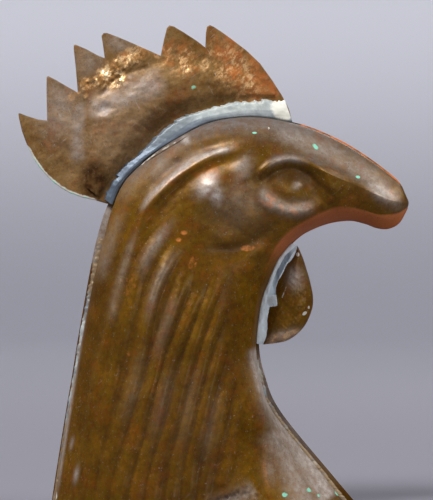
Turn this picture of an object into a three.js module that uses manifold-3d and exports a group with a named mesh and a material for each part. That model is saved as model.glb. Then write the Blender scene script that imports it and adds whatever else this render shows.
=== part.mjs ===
// Head and neck of a weathercock in sheet copper: two pressed halves soldered edge to edge, with a pressed comb and wattle.
// The bird faces +X and shows its right side to -Y. The halves meet in the plane y = 0.
// It stands on its flat cut underside at z = 0.
import * as THREE from "three";
import { mergeVertices } from "three/addons/utils/BufferGeometryUtils.js";
import Module from "manifold-3d";

// Driving sizes in millimetres.
const HEIGHT = 204; // cut underside to the highest tooth of the comb
const UNDERSIDE_DEPTH = 64; // across both halves
const THROAT_DEPTH = 52;
const CHEEK_DEPTH = 45;
const BROW_DEPTH = 36;
const BEAK_ROOT_DEPTH = 25;
const BEAK_TIP_DEPTH = 9;
const RIM = 2.2; // upright edge of each half at the seam
const CREST_RIM = 4.6; // the same edge under the comb
const LIP = 1.0; // thickness of the far half's flange
const COMB_PLATE = 1.0; // one half of the comb at its teeth
const COMB_SWELL = 5.4; // one half of the comb at its thick core
const WATTLE_ROOT = 1.2; // one half of the wattle under its solder
const WATTLE_SWELL = 5.2; // one half of the wattle at its fullest
const COMB_FILLET = 3.2; // solder proud of the comb's plate
const WATTLE_FILLET = 1.8; // solder proud of the wattle's root
const SEAM_BEAD = 1.1; // solder line proud of the flange
const FIT = 0.4; // room between the comb's core and its solder
const FLUTE = 1.3; // rise of a hackle feather above its neighbours' grooves
const ROLL_GROOVE = 1.2; // depth of the groove under the crest's roll
const ROLL_RIDGE = 1.4; // height of the first feather, beside that groove

// The outline is drawn on a squared sheet: columns run forward, rows run down, and the underside is the last row.
const SHEET_TOP = 25;
const SHEET_BOTTOM = 510;
const SHEET_MIDDLE = 214.2;
const SQUARE = HEIGHT / (SHEET_BOTTOM - SHEET_TOP);

const RIGHT = -1;
const LEFT = 1;

// Stations cross the bird from its back to its front, from the underside up the neck and out along the beak.
const BACK = [
  [50.5, 510], [55.5, 476], [65.8, 412], [72, 376], [77, 344], [84, 304], [90, 271], [97, 238], [108, 204],
  [125, 178.5], [154, 153], [183, 134.5], [209, 122.5], [238, 117.3], [267, 118], [304, 125], [339, 139.5],
  [365, 155], [385, 169.5], [400, 182.5], [410, 196.5],
];
const FRONT = [
  [362, 510], [334, 477], [281, 412], [265, 376], [259, 344], [262, 304], [269.5, 281], [277, 263], [281, 257],
  [285.5, 251], [292, 244], [303, 234.7], [315, 228.6], [326, 224.5], [338, 221.8], [352, 221], [366, 224.3],
  [377, 228.3], [388, 229], [399, 224], [409.5, 213],
];
// The line where the side turns in: the breast's edge on the neck, then the bevel under throat and beak.
const TURN = [
  [272, 510], [261, 476], [262, 412], [257, 376], [250, 342], [255, 301], [259, 281], [266, 264], [271, 253],
  [275, 246], [283, 236], [294, 227], [306, 220], [319, 213.5], [334, 208], [350, 208], [364, 211], [376, 214.5],
  [387, 214.5], [398, 212.5], [408, 207],
];
// How far the far half's edge stands beyond the near one, in squares along the station.
const BACK_FLANGE = [4, 3.5, 3, 3.5, 4, 5, 6, 7, 6, 2, 1, 1, 1, 1, 1, 2.5, 2.5, 2.5, 2.5, 2, 1.5];
const FRONT_FLANGE = [13, 9.5, 8, 5, 3, 1.2, 1, 1, 1, 1, 1, 1, 1, 1, 1, 1, 1, 1, 1, 1, 1];
const LAST = BACK.length - 1;

const THROAT = 4;
const NAPE = 8; // where the comb starts
const COMB_END = 14 + 2 / 3;
const WATTLE_TOP = 10;
// Depth of the bird at some stations, as [station, depth].
const DEPTHS = [
  [0, UNDERSIDE_DEPTH], [THROAT, THROAT_DEPTH], [NAPE, CHEEK_DEPTH], [12, CHEEK_DEPTH - 2], [14, BROW_DEPTH],
  [16, BEAK_ROOT_DEPTH], [LAST, BEAK_TIP_DEPTH],
];
// Share of the crown's height that is left at the turn.
const TURN_SHARE = [[0, 0.88], [2, 0.7], [THROAT, 0.55], [NAPE, 0.55], [13, 0.6], [LAST, 0.75]];
// Height of the upright edge along the back: tall under the comb, where its solder rests against it.
const BACK_RIM = [[0, RIM], [7, RIM], [NAPE, CREST_RIM], [COMB_END, CREST_RIM], [16, RIM], [LAST, RIM]];

// Teeth of the comb from its front to its back, as tip and the valley behind it.
const TEETH = [
  { tip: [209, 25], valley: [205.5, 48] },
  { tip: [169, 25.4], valley: [161, 56] },
  { tip: [104, 33], valley: [105, 58.5] },
  { tip: [74, 44.6], valley: [78, 93] },
  { tip: [47, 76], valley: [47.3, 121] },
];
const LAST_TIP = [18.4, 113];
const COMB_FRONT = [[290, 113], [282, 96], [260, 63], [232, 39]];
const COMB_BACK = [[22, 131], [30, 151], [40, 168], [54, 183], [70, 193], [96, 200.5]];
const CORE_LOW = [[100, 198], [110, 181], [121, 168], [136, 154], [170, 121.5], [200, 110], [236, 101], [274, 97]];
const CORE_HIGH = [[84, 186], [79, 140], [88, 98], [112, 74], [150, 62], [190, 56], [238, 68], [274, 92]];
const FILLET_HIGH = [[104, 199], [112, 181], [124, 166], [137, 155], [171, 122.5], [200, 111], [236, 102], [284, 99]];
// Outer edge of the wattle from its foot up to its top.
const WATTLE_EDGE = [
  [265, 344.3], [287, 340.5], [303, 328], [311.5, 311], [313, 297], [310, 281], [306.5, 269], [303, 258], [298, 246.5],
];
const WATTLE_ROOT_EDGE = [
  [263, 344], [267, 330], [268, 315], [275, 300], [277, 287], [283, 274], [288, 264], [294, 255], [297, 246],
];

const COPPER = { color: 0x6b4a26, roughness: 0.5, metalness: 0.9 };
const SOLDER = { color: 0x94a0a4, roughness: 0.45, metalness: 0.8 };

const at = ([column, row]) => new THREE.Vector2((column - SHEET_MIDDLE) * SQUARE, (SHEET_BOTTOM - row) * SQUARE);
const curve = (points) => new THREE.SplineCurve(points.map(at));
const clamp = THREE.MathUtils.clamp;
const smooth = THREE.MathUtils.smoothstep;

// Value of a [station, value] list at a station, eased between its entries.
function along(list, station) {
  const next = list.findIndex(([s]) => s >= station);
  if (next <= 0) return next === 0 ? list[0][1] : list.at(-1)[1];
  const [s0, v0] = list[next - 1];
  const [s1, v1] = list[next];
  return v0 + (v1 - v0) * smooth(station, s0, s1);
}

// Value of a list with one entry for each whole station.
function atStation(values, station) {
  const i = Math.min(Math.floor(station), values.length - 2);
  return values[i] + (values[i + 1] - values[i]) * (station - i);
}

// Stations between the whole ones, closer together where the outline turns sharply.
function stationList() {
  const list = [];
  for (let i = 0; i < LAST; i++) {
    const steps = i < THROAT || i === NAPE - 2 || i === NAPE - 1 || i > COMB_END ? 2 : 3;
    for (let k = 0; k < steps; k++) list.push(i + k / steps);
  }
  list.push(LAST);
  return list;
}
const STATIONS = stationList();

const backCurve = curve(BACK);
const frontCurve = curve(FRONT);
const turnCurve = curve(TURN);

// A station's points in the plane y = 0: the outer edges, the near half's edges and the turn between them.
function crossing(station) {
  const t = station / LAST;
  const back = backCurve.getPoint(t);
  const front = frontCurve.getPoint(t);
  const turn = turnCurve.getPoint(t);
  const inward = turn.clone().sub(back).normalize();
  const outward = turn.clone().sub(front).normalize();
  if (station === 0) {
    back.y = front.y = turn.y = 0;
    inward.set(1, 0);
    outward.set(-1, 0);
  }
  return {
    station,
    back,
    front,
    turn,
    backRim: back.clone().addScaledVector(inward, atStation(BACK_FLANGE, station) * SQUARE),
    frontRim: front.clone().addScaledVector(outward, atStation(FRONT_FLANGE, station) * SQUARE),
  };
}
const CROSSINGS = STATIONS.map(crossing);

// Shares across the side from back to turn, with a column on the crest of each hackle feather and one in each groove.
const ROLL_SHARES = [0, 0.025, 0.065, 0.11, 0.155];
const FIRST_FEATHER = 0.2;
const FEATHER_PITCH = 0.094;
// Station at which each hackle feather ends under the cheek, from the back feather forward.
const FEATHER_TOPS = [13.6, 8.6, 8, 7.3, 6.8, 6.4, 5.5, 4.3, 3.2];
const LAST_FEATHER = FIRST_FEATHER + (FEATHER_TOPS.length - 1) * FEATHER_PITCH;
const SIDE_SHARES = [...ROLL_SHARES];
for (let share = FIRST_FEATHER; share < LAST_FEATHER + 1e-6; share += FEATHER_PITCH / 2) SIDE_SHARES.push(share);
SIDE_SHARES.push((LAST_FEATHER + 1) / 2, 1);
const TURN_STEPS = [0.3, 0.65, 1];
const FEATHER_FADE = 0.8;
const SWEEP_START = 6.5;
const SWEPT_FIRST = 0.12; // where the first and last feathers lie across the side at the underside
const SWEPT_LAST = 0.72;

// A rounded bump or hollow on the side, as centre, half width, half height and rise.
const BUMPS = [
  { centre: [222, 192], half: [36, 34], rise: 2.4 },
  { centre: [190, 222], half: [20, 26], rise: 0.8 },
  { centre: [296, 189], half: [38, 28], rise: -2.6 },
  { centre: [295, 187], half: [19, 14], rise: 2.6 },
  { centre: [336, 186], half: [30, 16], rise: 0.8 },
];
// A ridge or groove drawn through points, as half width and rise.
const STROKES = [
  { path: [[262, 171], [276, 161], [296, 159], [318, 170]], half: 11, rise: 1.7 },
  { path: [[260, 190], [272, 206], [296, 213], [321, 202]], half: 10, rise: 1.6 },
  { path: [[304, 164], [341, 176], [366, 190], [392, 206]], half: 11, rise: 1.2 },
  { path: [[196, 246], [222, 250], [246, 242], [262, 226]], half: 11, rise: -1.2 },
].map(({ path, half, rise }) => ({ path: curve(path).getPoints(16), half: half * SQUARE, rise }));

// Rise of the bumps and strokes at a point of the side.
function carving(point) {
  let rise = 0;
  for (const bump of BUMPS) {
    const away = point.clone().sub(at(bump.centre));
    const reach = Math.hypot(away.x / bump.half[0], away.y / bump.half[1]) / SQUARE;
    if (reach < 1) rise += bump.rise * (1 - reach * reach) ** 2;
  }
  for (const stroke of STROKES) {
    const reach = Math.min(...stroke.path.map((p) => p.distanceTo(point))) / stroke.half;
    if (reach < 1) rise += stroke.rise * (1 - reach * reach) ** 2;
  }
  return rise;
}

// Rise of the roll's groove and the hackle feathers at a share across the side.
function feathering(station, share) {
  const groove = -ROLL_GROOVE * Math.exp(-(((share - 0.11) / 0.035) ** 2)) * (1 - smooth(station, 13, 15));
  const k = (share - FIRST_FEATHER) / FEATHER_PITCH;
  const feather = Math.round(k);
  if (feather < 0 || feather >= FEATHER_TOPS.length) return groove;
  const top = FEATHER_TOPS[feather];
  const fade = 1 - smooth(station, top - FEATHER_FADE, top);
  const height = feather === 0 ? ROLL_RIDGE : FLUTE;
  return groove + fade * height * Math.cos(2 * Math.PI * (k - feather));
}

// The hackle feathers sweep towards the back on their way down the neck, and leave the breast plain.
function swept(station, share) {
  const { mapLinear, lerp } = THREE.MathUtils;
  let low = share * (SWEPT_FIRST / FIRST_FEATHER);
  if (share > FIRST_FEATHER) low = mapLinear(share, FIRST_FEATHER, LAST_FEATHER, SWEPT_FIRST, SWEPT_LAST);
  if (share > LAST_FEATHER + 1e-6) low = mapLinear(share, LAST_FEATHER, 1, SWEPT_LAST, 1);
  return lerp(low, share, smooth(station, 0, SWEEP_START));
}

// Height of the side above the seam plane at a share from back (0) to turn (1).
function sideHeight(station, share) {
  const crown = along(DEPTHS, station) / 2;
  const rim = along(BACK_RIM, station);
  const fullest = 0.5;
  const climb = 1 - clamp(share / fullest, 0, 1);
  const rise = (1 - climb ** 2.4) ** (1 / 2.1);
  const fall = clamp((share - fullest) / (1 - fullest), 0, 1) ** 1.7;
  return rim + (crown - rim) * rise * (1 - (1 - along(TURN_SHARE, station)) * fall);
}

// One row of a half, as points with a height, from its back rim to its front rim.
function halfRow(cross, backRim, frontRim) {
  const { station, turn } = cross;
  const row = SIDE_SHARES.map((share) => {
    const place = swept(station, share);
    const point = backRim.clone().lerp(turn, place);
    const inside = smooth(place, 0.02, 0.12);
    const height = sideHeight(station, place) + feathering(station, share) + carving(point) * inside;
    return { point, height: share === 0 ? along(BACK_RIM, station) : height };
  });
  const edge = row.at(-1).height;
  for (const step of TURN_STEPS) {
    row.push({ point: turn.clone().lerp(frontRim, step), height: edge + (RIM - edge) * step ** 1.6 });
  }
  return row;
}

// A geometry whose triangles face outward, whichever way they were listed.
function outward(vertices, triangles) {
  let volume = 0;
  for (const [a, b, c] of triangles) volume += vertices[a].dot(vertices[b].clone().cross(vertices[c]));
  const faces = volume < 0 ? triangles.map(([a, b, c]) => [a, c, b]) : triangles;
  const geometry = new THREE.BufferGeometry().setFromPoints(vertices);
  geometry.setIndex(faces.flat());
  return geometry;
}

// A solid over a grid of points with heights, standing out to one side of a flat back at a given height.
function reliefSolid(rows, side, back = 0) {
  const width = rows[0].length;
  const vertices = [];
  const triangles = [];
  for (const row of rows) {
    for (const { point, height } of row) vertices.push(new THREE.Vector3(point.x, side * height, point.y));
  }
  for (let i = 0; i + 1 < rows.length; i++) {
    for (let j = 0; j + 1 < width; j++) {
      const a = i * width + j;
      triangles.push([a, a + 1, a + width], [a + 1, a + width + 1, a + width]);
    }
  }
  const last = rows.length - 1;
  const ring = [];
  for (let j = 0; j < width; j++) ring.push(j);
  for (let i = 1; i <= last; i++) ring.push(i * width + width - 1);
  for (let j = width - 2; j >= 0; j--) ring.push(last * width + j);
  for (let i = last - 1; i > 0; i--) ring.push(i * width);
  const behind = new Map();
  for (const index of ring) {
    behind.set(index, vertices.length);
    vertices.push(new THREE.Vector3(vertices[index].x, side * back, vertices[index].z));
  }
  ring.forEach((index, k) => {
    const next = ring[(k + 1) % ring.length];
    triangles.push([index, behind.get(index), next], [next, behind.get(index), behind.get(next)]);
  });
  const backFace = (...corners) => triangles.push(corners.map((index) => behind.get(index)));
  for (let i = 0; i < last; i++) {
    const start = i * width;
    const end = start + width - 1;
    if (i === 0) for (let j = 0; j + 1 < width; j++) backFace(j, width, j + 1);
    else if (i < last - 1) backFace(start, start + width, end);
    if (i < last - 1) backFace(end, start + width, end + width);
    else {
      backFace(start, start + width, end);
      for (let j = 0; j + 1 < width; j++) backFace(end, start + width + j, start + width + j + 1);
    }
  }
  return outward(vertices, triangles);
}

// A flat plate over an outline, from the seam plane out to a thickness.
function plate(outline, side, thickness) {
  const count = outline.length;
  const vertices = [0, thickness].flatMap((y) => outline.map((p) => new THREE.Vector3(p.x, side * y, p.y)));
  const faces = THREE.ShapeUtils.triangulateShape(outline, []);
  const turnsLeft = THREE.ShapeUtils.area(outline) > 0;
  const triangles = faces.flatMap(([a, b, c]) => [[a, b, c], [a + count, c + count, b + count]]);
  for (let k = 0; k < count; k++) {
    const next = (k + 1) % count;
    const wall = [[k, k + count, next], [next, k + count, next + count]];
    triangles.push(...(turnsLeft ? wall : wall.map(([a, b, c]) => [a, c, b])));
  }
  return outward(vertices, triangles);
}

const wasm = await Module();
wasm.setup();

function toManifold(geometry) {
  const bare = mergeVertices(geometry.clone(), 1e-4);
  return new wasm.Manifold(
    new wasm.Mesh({
      numProp: 3,
      vertProperties: bare.attributes.position.array,
      triVerts: new Uint32Array(bare.index.array),
    }),
  );
}

function joined(a, b) {
  const mesh = toManifold(a).add(toManifold(b)).getMesh();
  const geometry = new THREE.BufferGeometry();
  geometry.setAttribute("position", new THREE.BufferAttribute(mesh.vertProperties, 3));
  geometry.setIndex(new THREE.BufferAttribute(mesh.triVerts, 1));
  return geometry;
}

const group = new THREE.Group();

function addPiece(name, geometry, finish) {
  const flat = geometry.toNonIndexed();
  flat.computeVertexNormals();
  const mesh = new THREE.Mesh(flat, new THREE.MeshStandardMaterial({ ...finish, flatShading: true }));
  mesh.name = name;
  group.add(mesh);
}

// Edges of a half: the near one stops at its own rims, the far one carries a flange beyond them.
const backEdge = (cross, side) => (side === RIGHT ? cross.backRim : cross.back);
const frontEdge = (cross, side) => (side === RIGHT ? cross.frontRim : cross.front);

function halfGeometry(side) {
  const rows = CROSSINGS.map((cross) => {
    const row = halfRow(cross, cross.backRim, cross.frontRim);
    if (side === LEFT) {
      row.unshift({ point: cross.back, height: LIP });
      row.push({ point: cross.front, height: LIP });
    }
    return row;
  });
  return reliefSolid(rows, side);
}

// Crossings from one station to another, both ends included.
const between = (from, to) => CROSSINGS.filter(({ station }) => station > from - 1e-6 && station < to + 1e-6);
const combCrossings = between(NAPE, COMB_END);

// The comb's outline: along the crest, up its front and back over the teeth.
function combOutline(side) {
  const outline = combCrossings.map((cross) => backEdge(cross, side));
  outline.push(...COMB_FRONT.map(at));
  for (const { tip, valley } of TEETH) outline.push(at(tip), at(valley));
  outline.push(at(LAST_TIP), ...COMB_BACK.map(at));
  return outline;
}

// The comb's swollen core, above the solder.
function combCore(side) {
  const low = curve(CORE_LOW);
  const high = curve(CORE_HIGH);
  const shares = [0, 0.15, 0.4, 0.7, 0.9, 1];
  const steps = 16;
  const rows = [];
  for (let i = 0; i <= steps; i++) {
    const end = Math.sin((Math.PI * (i + 0.6)) / (steps + 1.2)) ** 0.5;
    const base = low.getPoint(i / steps);
    const top = high.getPoint(i / steps);
    const up = top.clone().sub(base).normalize();
    base.addScaledVector(up, FIT);
    rows.push(
      shares.map((share) => {
        const swell = share === 0 || share === 1 ? 0.05 : Math.sin(Math.PI * share ** 0.8) ** 0.6;
        return { point: base.clone().lerp(top, share), height: COMB_PLATE + (COMB_SWELL - COMB_PLATE) * swell * end };
      }),
    );
  }
  return reliefSolid(rows, side);
}

function combSolder(side) {
  const high = curve(FILLET_HIGH);
  const rows = combCrossings.map((cross, i) => {
    const low = backEdge(cross, side);
    const top = high.getPoint(i / (combCrossings.length - 1));
    return [[0, 0.95], [0.35, 1], [0.75, 0.7], [1, 0.15]].map(([share, swell]) => ({
      point: low.clone().lerp(top, share),
      height: COMB_PLATE + COMB_FILLET * swell,
    }));
  });
  return reliefSolid(rows, side, COMB_PLATE);
}

const wattleCrossings = between(THROAT, WATTLE_TOP);
const wattleShare = (cross) => (cross.station - THROAT) / (WATTLE_TOP - THROAT);

function wattleGeometry(side) {
  const edge = curve(WATTLE_EDGE);
  const root = curve(WATTLE_ROOT_EDGE);
  const rows = wattleCrossings.map((cross) => {
    const t = wattleShare(cross);
    const inner = root.getPoint(t);
    const outer = edge.getPoint(t);
    const full = Math.sin(Math.PI * clamp(0.12 + 0.8 * t, 0, 1)) ** 0.5;
    const row = [{ point: frontEdge(cross, side), height: WATTLE_ROOT }];
    for (const [share, swell] of [[0, 0], [0.2, 0.7], [0.45, 1], [0.7, 0.9], [0.9, 0.5], [1, 0]]) {
      row.push({
        point: inner.clone().lerp(outer, share),
        height: WATTLE_ROOT + (WATTLE_SWELL - WATTLE_ROOT) * swell * full,
      });
    }
    return row;
  });
  return reliefSolid(rows, side);
}

function wattleSolder(side) {
  const root = curve(WATTLE_ROOT_EDGE);
  const rows = wattleCrossings.map((cross) => {
    const low = frontEdge(cross, side);
    const top = root.getPoint(wattleShare(cross));
    return [[0, 0.8], [0.4, 1], [0.9, 0.25]].map(([share, swell]) => ({
      point: low.clone().lerp(top, share),
      height: WATTLE_ROOT + WATTLE_FILLET * swell,
    }));
  });
  return reliefSolid(rows, side, WATTLE_ROOT);
}

// Solder line on the far half's flange, against the near half's rim.
function seamSolder(crossings, rimOf, edgeOf) {
  const rows = crossings.map((cross) => [
    { point: rimOf(cross), height: SEAM_BEAD },
    { point: rimOf(cross).clone().lerp(edgeOf(cross), 0.35), height: SEAM_BEAD * 0.8 },
    { point: rimOf(cross).clone().lerp(edgeOf(cross), 0.55), height: SEAM_BEAD * 0.2 },
  ]);
  return reliefSolid(rows, RIGHT);
}

for (const [word, side] of [["right", RIGHT], ["left", LEFT]]) {
  addPiece(word + "_half", halfGeometry(side), COPPER);
  addPiece("comb_" + word, joined(plate(combOutline(side), side, COMB_PLATE), combCore(side)), COPPER);
  addPiece("comb_solder_" + word, combSolder(side), SOLDER);
  addPiece("wattle_" + word, wattleGeometry(side), COPPER);
  addPiece("wattle_solder_" + word, wattleSolder(side), SOLDER);
}
const backSeam = between(0, NAPE - 1);
const breastSeam = between(0, THROAT - 0.5);
addPiece("back_seam_solder", seamSolder(backSeam, (c) => c.backRim, (c) => c.back), SOLDER);
addPiece("breast_seam_solder", seamSolder(breastSeam, (c) => c.frontRim, (c) => c.front), SOLDER);

export default group;
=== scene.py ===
"""Copper weathercock head and neck: two pressed halves with a comb and a wattle, soldered and weathered.

Every piece is a fine mesh worked out on the same squared sheet as the solids, so it lies where they lie.
Lengths are metres, heights of relief are millimetres until a mesh is made, and the bird faces +X.
"""

import logging
import math
from dataclasses import dataclass, field
from enum import Enum
from typing import Sequence

import bpy
import numpy as np
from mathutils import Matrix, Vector
from mathutils.geometry import delaunay_2d_cdt


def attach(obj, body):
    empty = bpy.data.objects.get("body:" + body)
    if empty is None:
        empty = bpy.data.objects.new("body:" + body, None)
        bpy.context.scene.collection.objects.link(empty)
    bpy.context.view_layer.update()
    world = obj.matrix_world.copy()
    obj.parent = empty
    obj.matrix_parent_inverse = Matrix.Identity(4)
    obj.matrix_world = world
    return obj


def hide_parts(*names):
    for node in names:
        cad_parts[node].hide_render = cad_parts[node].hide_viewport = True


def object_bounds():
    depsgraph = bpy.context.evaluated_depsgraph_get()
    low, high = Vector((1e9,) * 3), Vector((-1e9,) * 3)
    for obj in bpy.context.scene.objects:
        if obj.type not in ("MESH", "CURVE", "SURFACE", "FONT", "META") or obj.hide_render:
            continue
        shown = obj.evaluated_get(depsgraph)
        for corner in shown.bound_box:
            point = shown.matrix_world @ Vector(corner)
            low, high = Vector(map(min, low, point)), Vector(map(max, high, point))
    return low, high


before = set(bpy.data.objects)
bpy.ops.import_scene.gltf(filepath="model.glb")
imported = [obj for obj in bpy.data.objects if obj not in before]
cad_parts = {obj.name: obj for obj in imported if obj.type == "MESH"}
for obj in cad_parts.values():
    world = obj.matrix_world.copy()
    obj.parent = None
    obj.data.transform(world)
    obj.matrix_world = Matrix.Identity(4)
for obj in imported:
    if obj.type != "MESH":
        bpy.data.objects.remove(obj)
CAD_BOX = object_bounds()

log = logging.getLogger("weathercock")

Array = np.ndarray
Point = tuple[float, float]
Path = Sequence[Point]
Place = tuple[float, float, float]

MM = 0.001
PHOTO_WIDTH = 433
PHOTO_HEIGHT = 500
THIN = 0.02  # least height of a surface above the seam plane, in millimetres
SHARP_ANGLE = 50  # degrees between faces from which an edge stays sharp
ROW_RISE = 0.866  # height of an even triangle with a side of 1
WELD = 1e-5  # squares within which the triangulation joins points

# The squared sheet that the outline is drawn on: rows run down to the underside, columns run forward.
SHEET_TOP = 25.0
SHEET_BOTTOM = 510.0
SHEET_MIDDLE = 214.2
SQUARE = (CAD_BOX[1].z - CAD_BOX[0].z) / MM / (SHEET_BOTTOM - SHEET_TOP)


class Side(Enum):
    """Side of the seam plane that a piece lies on."""

    RIGHT = -1
    LEFT = 1

    @property
    def word(self) -> str:
        """Return the side as names carry it."""
        return self.name.lower()


class Mark(Enum):
    """What a mark leaves on the metal, named as the vertex attribute that carries it; some kinds also carry
    painted shade, highlights and glints.
    """

    # rubbed-through copper, and painted highlights on the lower lid and the wattle's upper edge
    BARE_AND_HIGHLIGHT = "bare_and_highlight"
    VERDIGRIS = "verdigris"
    # solder, and painted glints on the wattle's rim
    TIN = "tin"
    # dark dirt and cracks, and painted shade in creases, under the brow, along the jaw and on the comb above
    # its solder; also a darker lower neck
    GRIME_AND_SHADE = "grime_and_shade"
    GLITTER = "glitter"
    SCRAPED = "scraped"
    # pale lilac patina, and painted highlights and sheen on ridges, dents and faces turned to the light
    FILM_AND_HIGHLIGHT = "film_and_highlight"


def smooth(value: Array | float, low: float, high: float) -> Array:
    """Return an eased step from 0 at low to 1 at high."""
    t = np.clip((np.asarray(value, float) - low) / (high - low), 0.0, 1.0)
    return t * t * (3.0 - 2.0 * t)


def eased(table: Sequence[tuple[float, float]], station: Array) -> Array:
    """Return the value of a (station, value) table, eased between its entries.

    Args:
        table: rising stations with their values.
        station: stations to look up.

    Returns:
        One value for each station.
    """
    keys = np.array([key for key, _ in table])
    values = np.array([value for _, value in table])
    after = np.clip(np.searchsorted(keys, station, side="left"), 1, len(keys) - 1)
    span = keys[after] - keys[after - 1]
    share = smooth((station - keys[after - 1]) / span, 0, 1)
    return values[after - 1] + (values[after] - values[after - 1]) * share


def spline(points: Path, t: Array) -> Array:
    """Return points of a smooth curve through all the given points.

    Args:
        points: points on the squared sheet.
        t: places along the curve from 0 to 1, with equal steps between the points.

    Returns:
        An array of (column, row) pairs.
    """
    p = np.asarray(points, float)
    place = np.asarray(t, float) * (len(p) - 1)
    i = np.clip(np.floor(place).astype(int), 0, len(p) - 2)
    w = (place - i)[..., None]
    p0 = p[np.maximum(i - 1, 0)]
    p1 = p[i]
    p2 = p[i + 1]
    p3 = p[np.minimum(i + 2, len(p) - 1)]
    v0 = (p2 - p0) / 2
    v1 = (p3 - p1) / 2
    return (2 * p1 - 2 * p2 + v0 + v1) * w**3 + (-3 * p1 + 3 * p2 - 2 * v0 - v1) * w**2 + v0 * w + p1


def to_path(points: Array, path: Array) -> tuple[Array, Array]:
    """Return the distance of each point to a path, and how far along the path its foot lies.

    Args:
        points: (n, 2) points on the squared sheet.
        path: (m, 2) points of the path.

    Returns:
        Distances in squares, and shares along the path from 0 to 1.
    """
    steps = np.diff(path, axis=0)
    lengths = np.hypot(steps[:, 0], steps[:, 1])
    reach = np.concatenate([[0.0], np.cumsum(lengths)])
    best = np.full(len(points), 1e9)
    share = np.zeros(len(points))
    for start, step, length, before in zip(path[:-1], steps, lengths, reach[:-1]):
        away = points - start
        t = np.clip((away @ step) / max(length * length, 1e-9), 0.0, 1.0)
        gap = np.hypot(away[:, 0] - t * step[0], away[:, 1] - t * step[1])
        closer = gap < best
        best = np.where(closer, gap, best)
        share = np.where(closer, (before + t * length) / reach[-1], share)
    return best, share


def near_path(points: Array, path: Path, reach: float) -> tuple[Array, Array]:
    """Return distance and share along a smooth path, worked out only for points within its reach.

    Args:
        points: (n, 2) points on the squared sheet.
        path: points that the smooth path goes through.
        reach: distance beyond which only a large distance is returned.

    Returns:
        Distances in squares, and shares along the path from 0 to 1.
    """
    line = spline(path, np.linspace(0, 1, 4 * len(path)))
    low, high = line.min(0) - reach, line.max(0) + reach
    close = np.all((points > low) & (points < high), axis=1)
    gap, share = np.full(len(points), 1e3), np.zeros(len(points))
    if close.any():
        gap[close], share[close] = to_path(points[close], line)
    return gap, share


def fading(share: Array, first: float, last: float) -> Array | float:
    """Return 1 along a path, eased to 0 over the first and last shares of it.

    Args:
        share: shares of the path.
        first, last: length of the two ends, as shares.

    Returns:
        The factor at each share.
    """
    rise = smooth(share, 0, first) if first > 0 else 1.0
    fall = 1 - smooth(share, 1 - last, 1) if last > 0 else 1.0
    return rise * fall


def between(start: Array, end: Array, share: Array) -> Array:
    """Return the grid of points at shares of the way from each start to its end."""
    return start[:, None] + (end - start)[:, None] * share[..., None]


def unevenness(points: Array, wave: float, seed: int, waves: int = 14) -> Array:
    """Return a smooth uneven field of about -1 to 1, as hand beating leaves it.

    Args:
        points: (n, 2) points on the squared sheet.
        wave: usual distance between two high spots, in squares.
        seed: number that fixes the field.
        waves: how many plane waves it is made of.

    Returns:
        One value for each point.
    """
    rng = np.random.default_rng(seed)
    total = np.zeros(len(points))
    for _ in range(waves):
        angle = rng.uniform(0, math.pi)
        pace = 2 * math.pi / (wave * rng.uniform(0.7, 1.6))
        along = points[:, 0] * math.cos(angle) + points[:, 1] * math.sin(angle)
        total += np.sin(along * pace + rng.uniform(0, 2 * math.pi))
    return total / math.sqrt(waves)


def beaten(points: Array, *fields: tuple[float, float, int]) -> Array:
    """Return the sum of uneven fields over a grid or list of points, each of an amount, a wave and a seed.

    Args:
        points: grid or list of points on the squared sheet.
        fields: amount, wave and seed of each field.

    Returns:
        The sum, in the shape of the points.
    """
    flat = points.reshape(-1, 2)
    total = sum(amount * unevenness(flat, wave, seed) for amount, wave, seed in fields)
    return total.reshape(points.shape[:-1])


@dataclass(frozen=True)
class Stroke:
    """A ridge or groove drawn along a path.

    Attributes:
        path: points on the squared sheet.
        half: half width of the stroke in squares.
        rise: height in millimetres, negative for a groove.
        fade: shares of the path over which it fades in and out.
    """

    path: Path
    half: float
    rise: float
    fade: tuple[float, float] = (0.15, 0.15)

    def height(self, points: Array) -> Array:
        """Return the stroke's height in millimetres at each point."""
        gap, share = near_path(points, self.path, 2.6 * self.half)
        return self.rise * fading(share, *self.fade) * np.exp(-((gap / self.half) ** 2))

    def cord(self, points: Array) -> Array:
        """Return the height of a round cord of the same width, with a sharp valley at its sides.

        Args:
            points: (n, 2) points on the squared sheet.

        Returns:
            The heights in millimetres.
        """
        gap, share = near_path(points, self.path, 1.1 * self.half)
        round_top = np.cos(np.clip(gap / self.half, 0, 1) * math.pi / 2) ** 1.3
        return self.rise * fading(share, *self.fade) * round_top


@dataclass(frozen=True)
class Bump:
    """A rounded bump or hollow: centre, half sizes, turn in degrees and rise in millimetres."""

    centre: Point
    half: Point
    rise: float
    turn: float = 0.0

    def reach(self, points: Array) -> Array:
        """Return how far out of the bump each point lies, 1 at its edge.

        Args:
            points: (n, 2) points on the squared sheet.

        Returns:
            The distances, as shares of the half sizes.
        """
        away = points - np.asarray(self.centre)
        c, s = math.cos(math.radians(self.turn)), math.sin(math.radians(self.turn))
        across = (away[:, 0] * c + away[:, 1] * s) / self.half[0]
        down = (-away[:, 0] * s + away[:, 1] * c) / self.half[1]
        return np.hypot(across, down)

    def height(self, points: Array) -> Array:
        """Return the bump's height in millimetres at each point."""
        return self.rise * np.clip(1 - self.reach(points) ** 2, 0, 1) ** 2


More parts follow.
